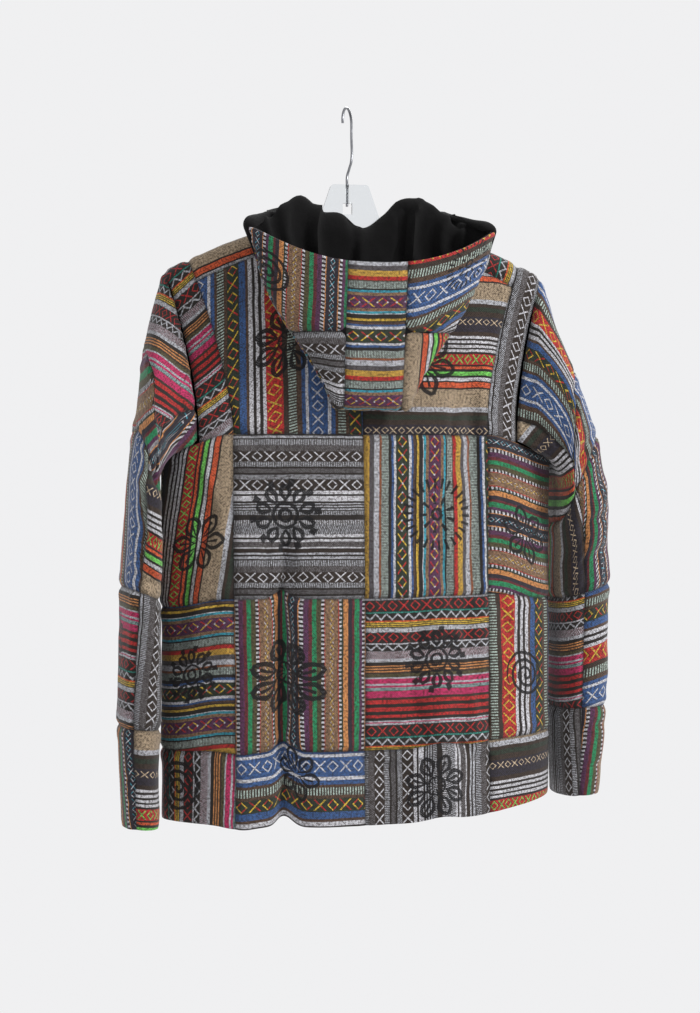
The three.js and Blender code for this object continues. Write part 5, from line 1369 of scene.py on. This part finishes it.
# The hanger: clear moulded plastic with a flat plate in the middle, and a plated wire hook that turns in it.
# The hook is a bent wire whose lower end is headed over inside the plate.
CLEAR_PLASTIC, w, shader = new_material("clear_plastic")
smear = w.noise(w.add("ShaderNodeTexCoord").outputs["Object"], 60.0, 4.0)
edges = w.add("ShaderNodeLayerWeight")
w.feed(edges.inputs, Blend=0.35)
w.feed(shader, Base_Color=w.mix(edges.outputs["Facing"], dye(238, 241, 243), dye(150, 158, 164)),
       Roughness=w.scaled(smear, 0.12, 0.02), Transmission_Weight=1.0, IOR=1.5)
finish_solid("hanger_body", CLEAR_PLASTIC, 0.0018, 4)

WIRE_RADIUS = 1.6
HOOK_RADIUS = 17.6
HOOK_TURN = math.radians(-118)
SHANK = {"leaves": 12, "bends": -60, "straight": -84, "head": -120}
flat = [(HOOK_RADIUS * math.cos(a), HOOK_RADIUS * math.sin(a) - HOOK_RADIUS + WIRE_RADIUS)
        for a in map(math.radians, range(-12, 181, 16))]
flat += [(-HOOK_RADIUS, -HOOK_RADIUS - SHANK["leaves"]), (-HOOK_RADIUS, SHANK["bends"])]
flat += [(-HOOK_RADIUS * 0.5, (SHANK["bends"] + SHANK["straight"]) / 2)]
flat += [(0, SHANK["straight"]), (0, SHANK["straight"] - 10), (0, SHANK["head"])]
wire = bpy.data.curves.new("hook_wire", "CURVE")
wire.dimensions = "3D"
wire.bevel_depth = WIRE_RADIUS / 1000
wire.bevel_resolution = 6
wire.resolution_u = 10
wire.use_fill_caps = True
line = wire.splines.new("BEZIER")
line.bezier_points.add(len(flat) - 1)
for knot, (along, z) in zip(line.bezier_points, flat):
    knot.co = (along * math.cos(HOOK_TURN) / 1000, along * math.sin(HOOK_TURN) / 1000, z / 1000)
    knot.handle_left_type = knot.handle_right_type = "AUTO"
wire.materials.append(STEEL)
hang("hook_wire", wire, "hanger_hook")


# The studio: a pale floor below the hanging jacket and a pale room that lights it from all round. A soft lamp
# stands high to the right of the back, a weak one to its left, and one lights the front.
FLOOR_Z = -1.6
FLOOR_RADIUS = 2.05
turns = np.linspace(0, 2 * math.pi, 96, endpoint=False)
rim = points(FLOOR_RADIUS * np.cos(turns), FLOOR_RADIUS * np.sin(turns), FLOOR_Z)
floor_mesh = bpy.data.meshes.new("floor")
floor_mesh.from_pydata(rim.tolist(), [], [list(range(len(rim)))])
pale_floor, w, shader = new_material("pale_floor")
w.feed(shader, Base_Color=(0.66, 0.66, 0.67, 1), Roughness=0.8)
floor_mesh.materials.append(pale_floor)
floor = bpy.data.objects.new("floor", floor_mesh)
bpy.context.scene.collection.objects.link(floor)

bpy.context.scene.view_settings.view_transform = "Standard"
world = bpy.data.worlds.new("pale_room")
world.use_nodes = True
sky = world.node_tree.nodes["Background"].inputs
Wiring(world.node_tree).feed(sky, Color=(0.87, 0.87, 0.88, 1), Strength=1.0)
bpy.context.scene.world = world

LAMP_AIM = (0, 0, -0.5)


def lamp(name, place, size, power):
    light = bpy.data.lights.new(name, "AREA")
    light.size = size
    light.energy = power
    holder = bpy.data.objects.new(name, light)
    holder.location = place
    x, y, z = np.subtract(LAMP_AIM, place)
    holder.rotation_euler = (math.atan2(math.hypot(x, y), -z), 0, math.atan2(y, x) - math.pi / 2)
    bpy.context.scene.collection.objects.link(holder)


lamp("key_lamp", (1.9, -1.5, 1.0), 0.7, 85)
lamp("side_lamp", (-2.2, -1.4, 0.2), 1.4, 8)
lamp("front_lamp", (1.0, 2.6, 1.3), 1.2, 60)

CAMERA_AZIMUTH = math.radians(-10)
CAMERA_DISTANCE = 2.7
CAMERA_AIM = (0.00364, -0.00064, -0.4903)
PHOTO = {"focal": 2186, "height": 1013}  # in the photo's own pixels
SENSOR = 36
camera_data = bpy.data.cameras.new("photo_camera")
camera_data.sensor_fit = "VERTICAL"
camera_data.sensor_height = SENSOR
camera_data.lens = PHOTO["focal"] / PHOTO["height"] * SENSOR
camera_data.clip_end = 50
camera = bpy.data.objects.new("photo_camera", camera_data)
camera.location = (
    CAMERA_AIM[0] + CAMERA_DISTANCE * math.sin(CAMERA_AZIMUTH),
    CAMERA_AIM[1] - CAMERA_DISTANCE * math.cos(CAMERA_AZIMUTH),
    CAMERA_AIM[2],
)
camera.rotation_euler = (math.pi / 2, 0, CAMERA_AZIMUTH)
bpy.context.scene.collection.objects.link(camera)
bpy.context.scene.camera = camera
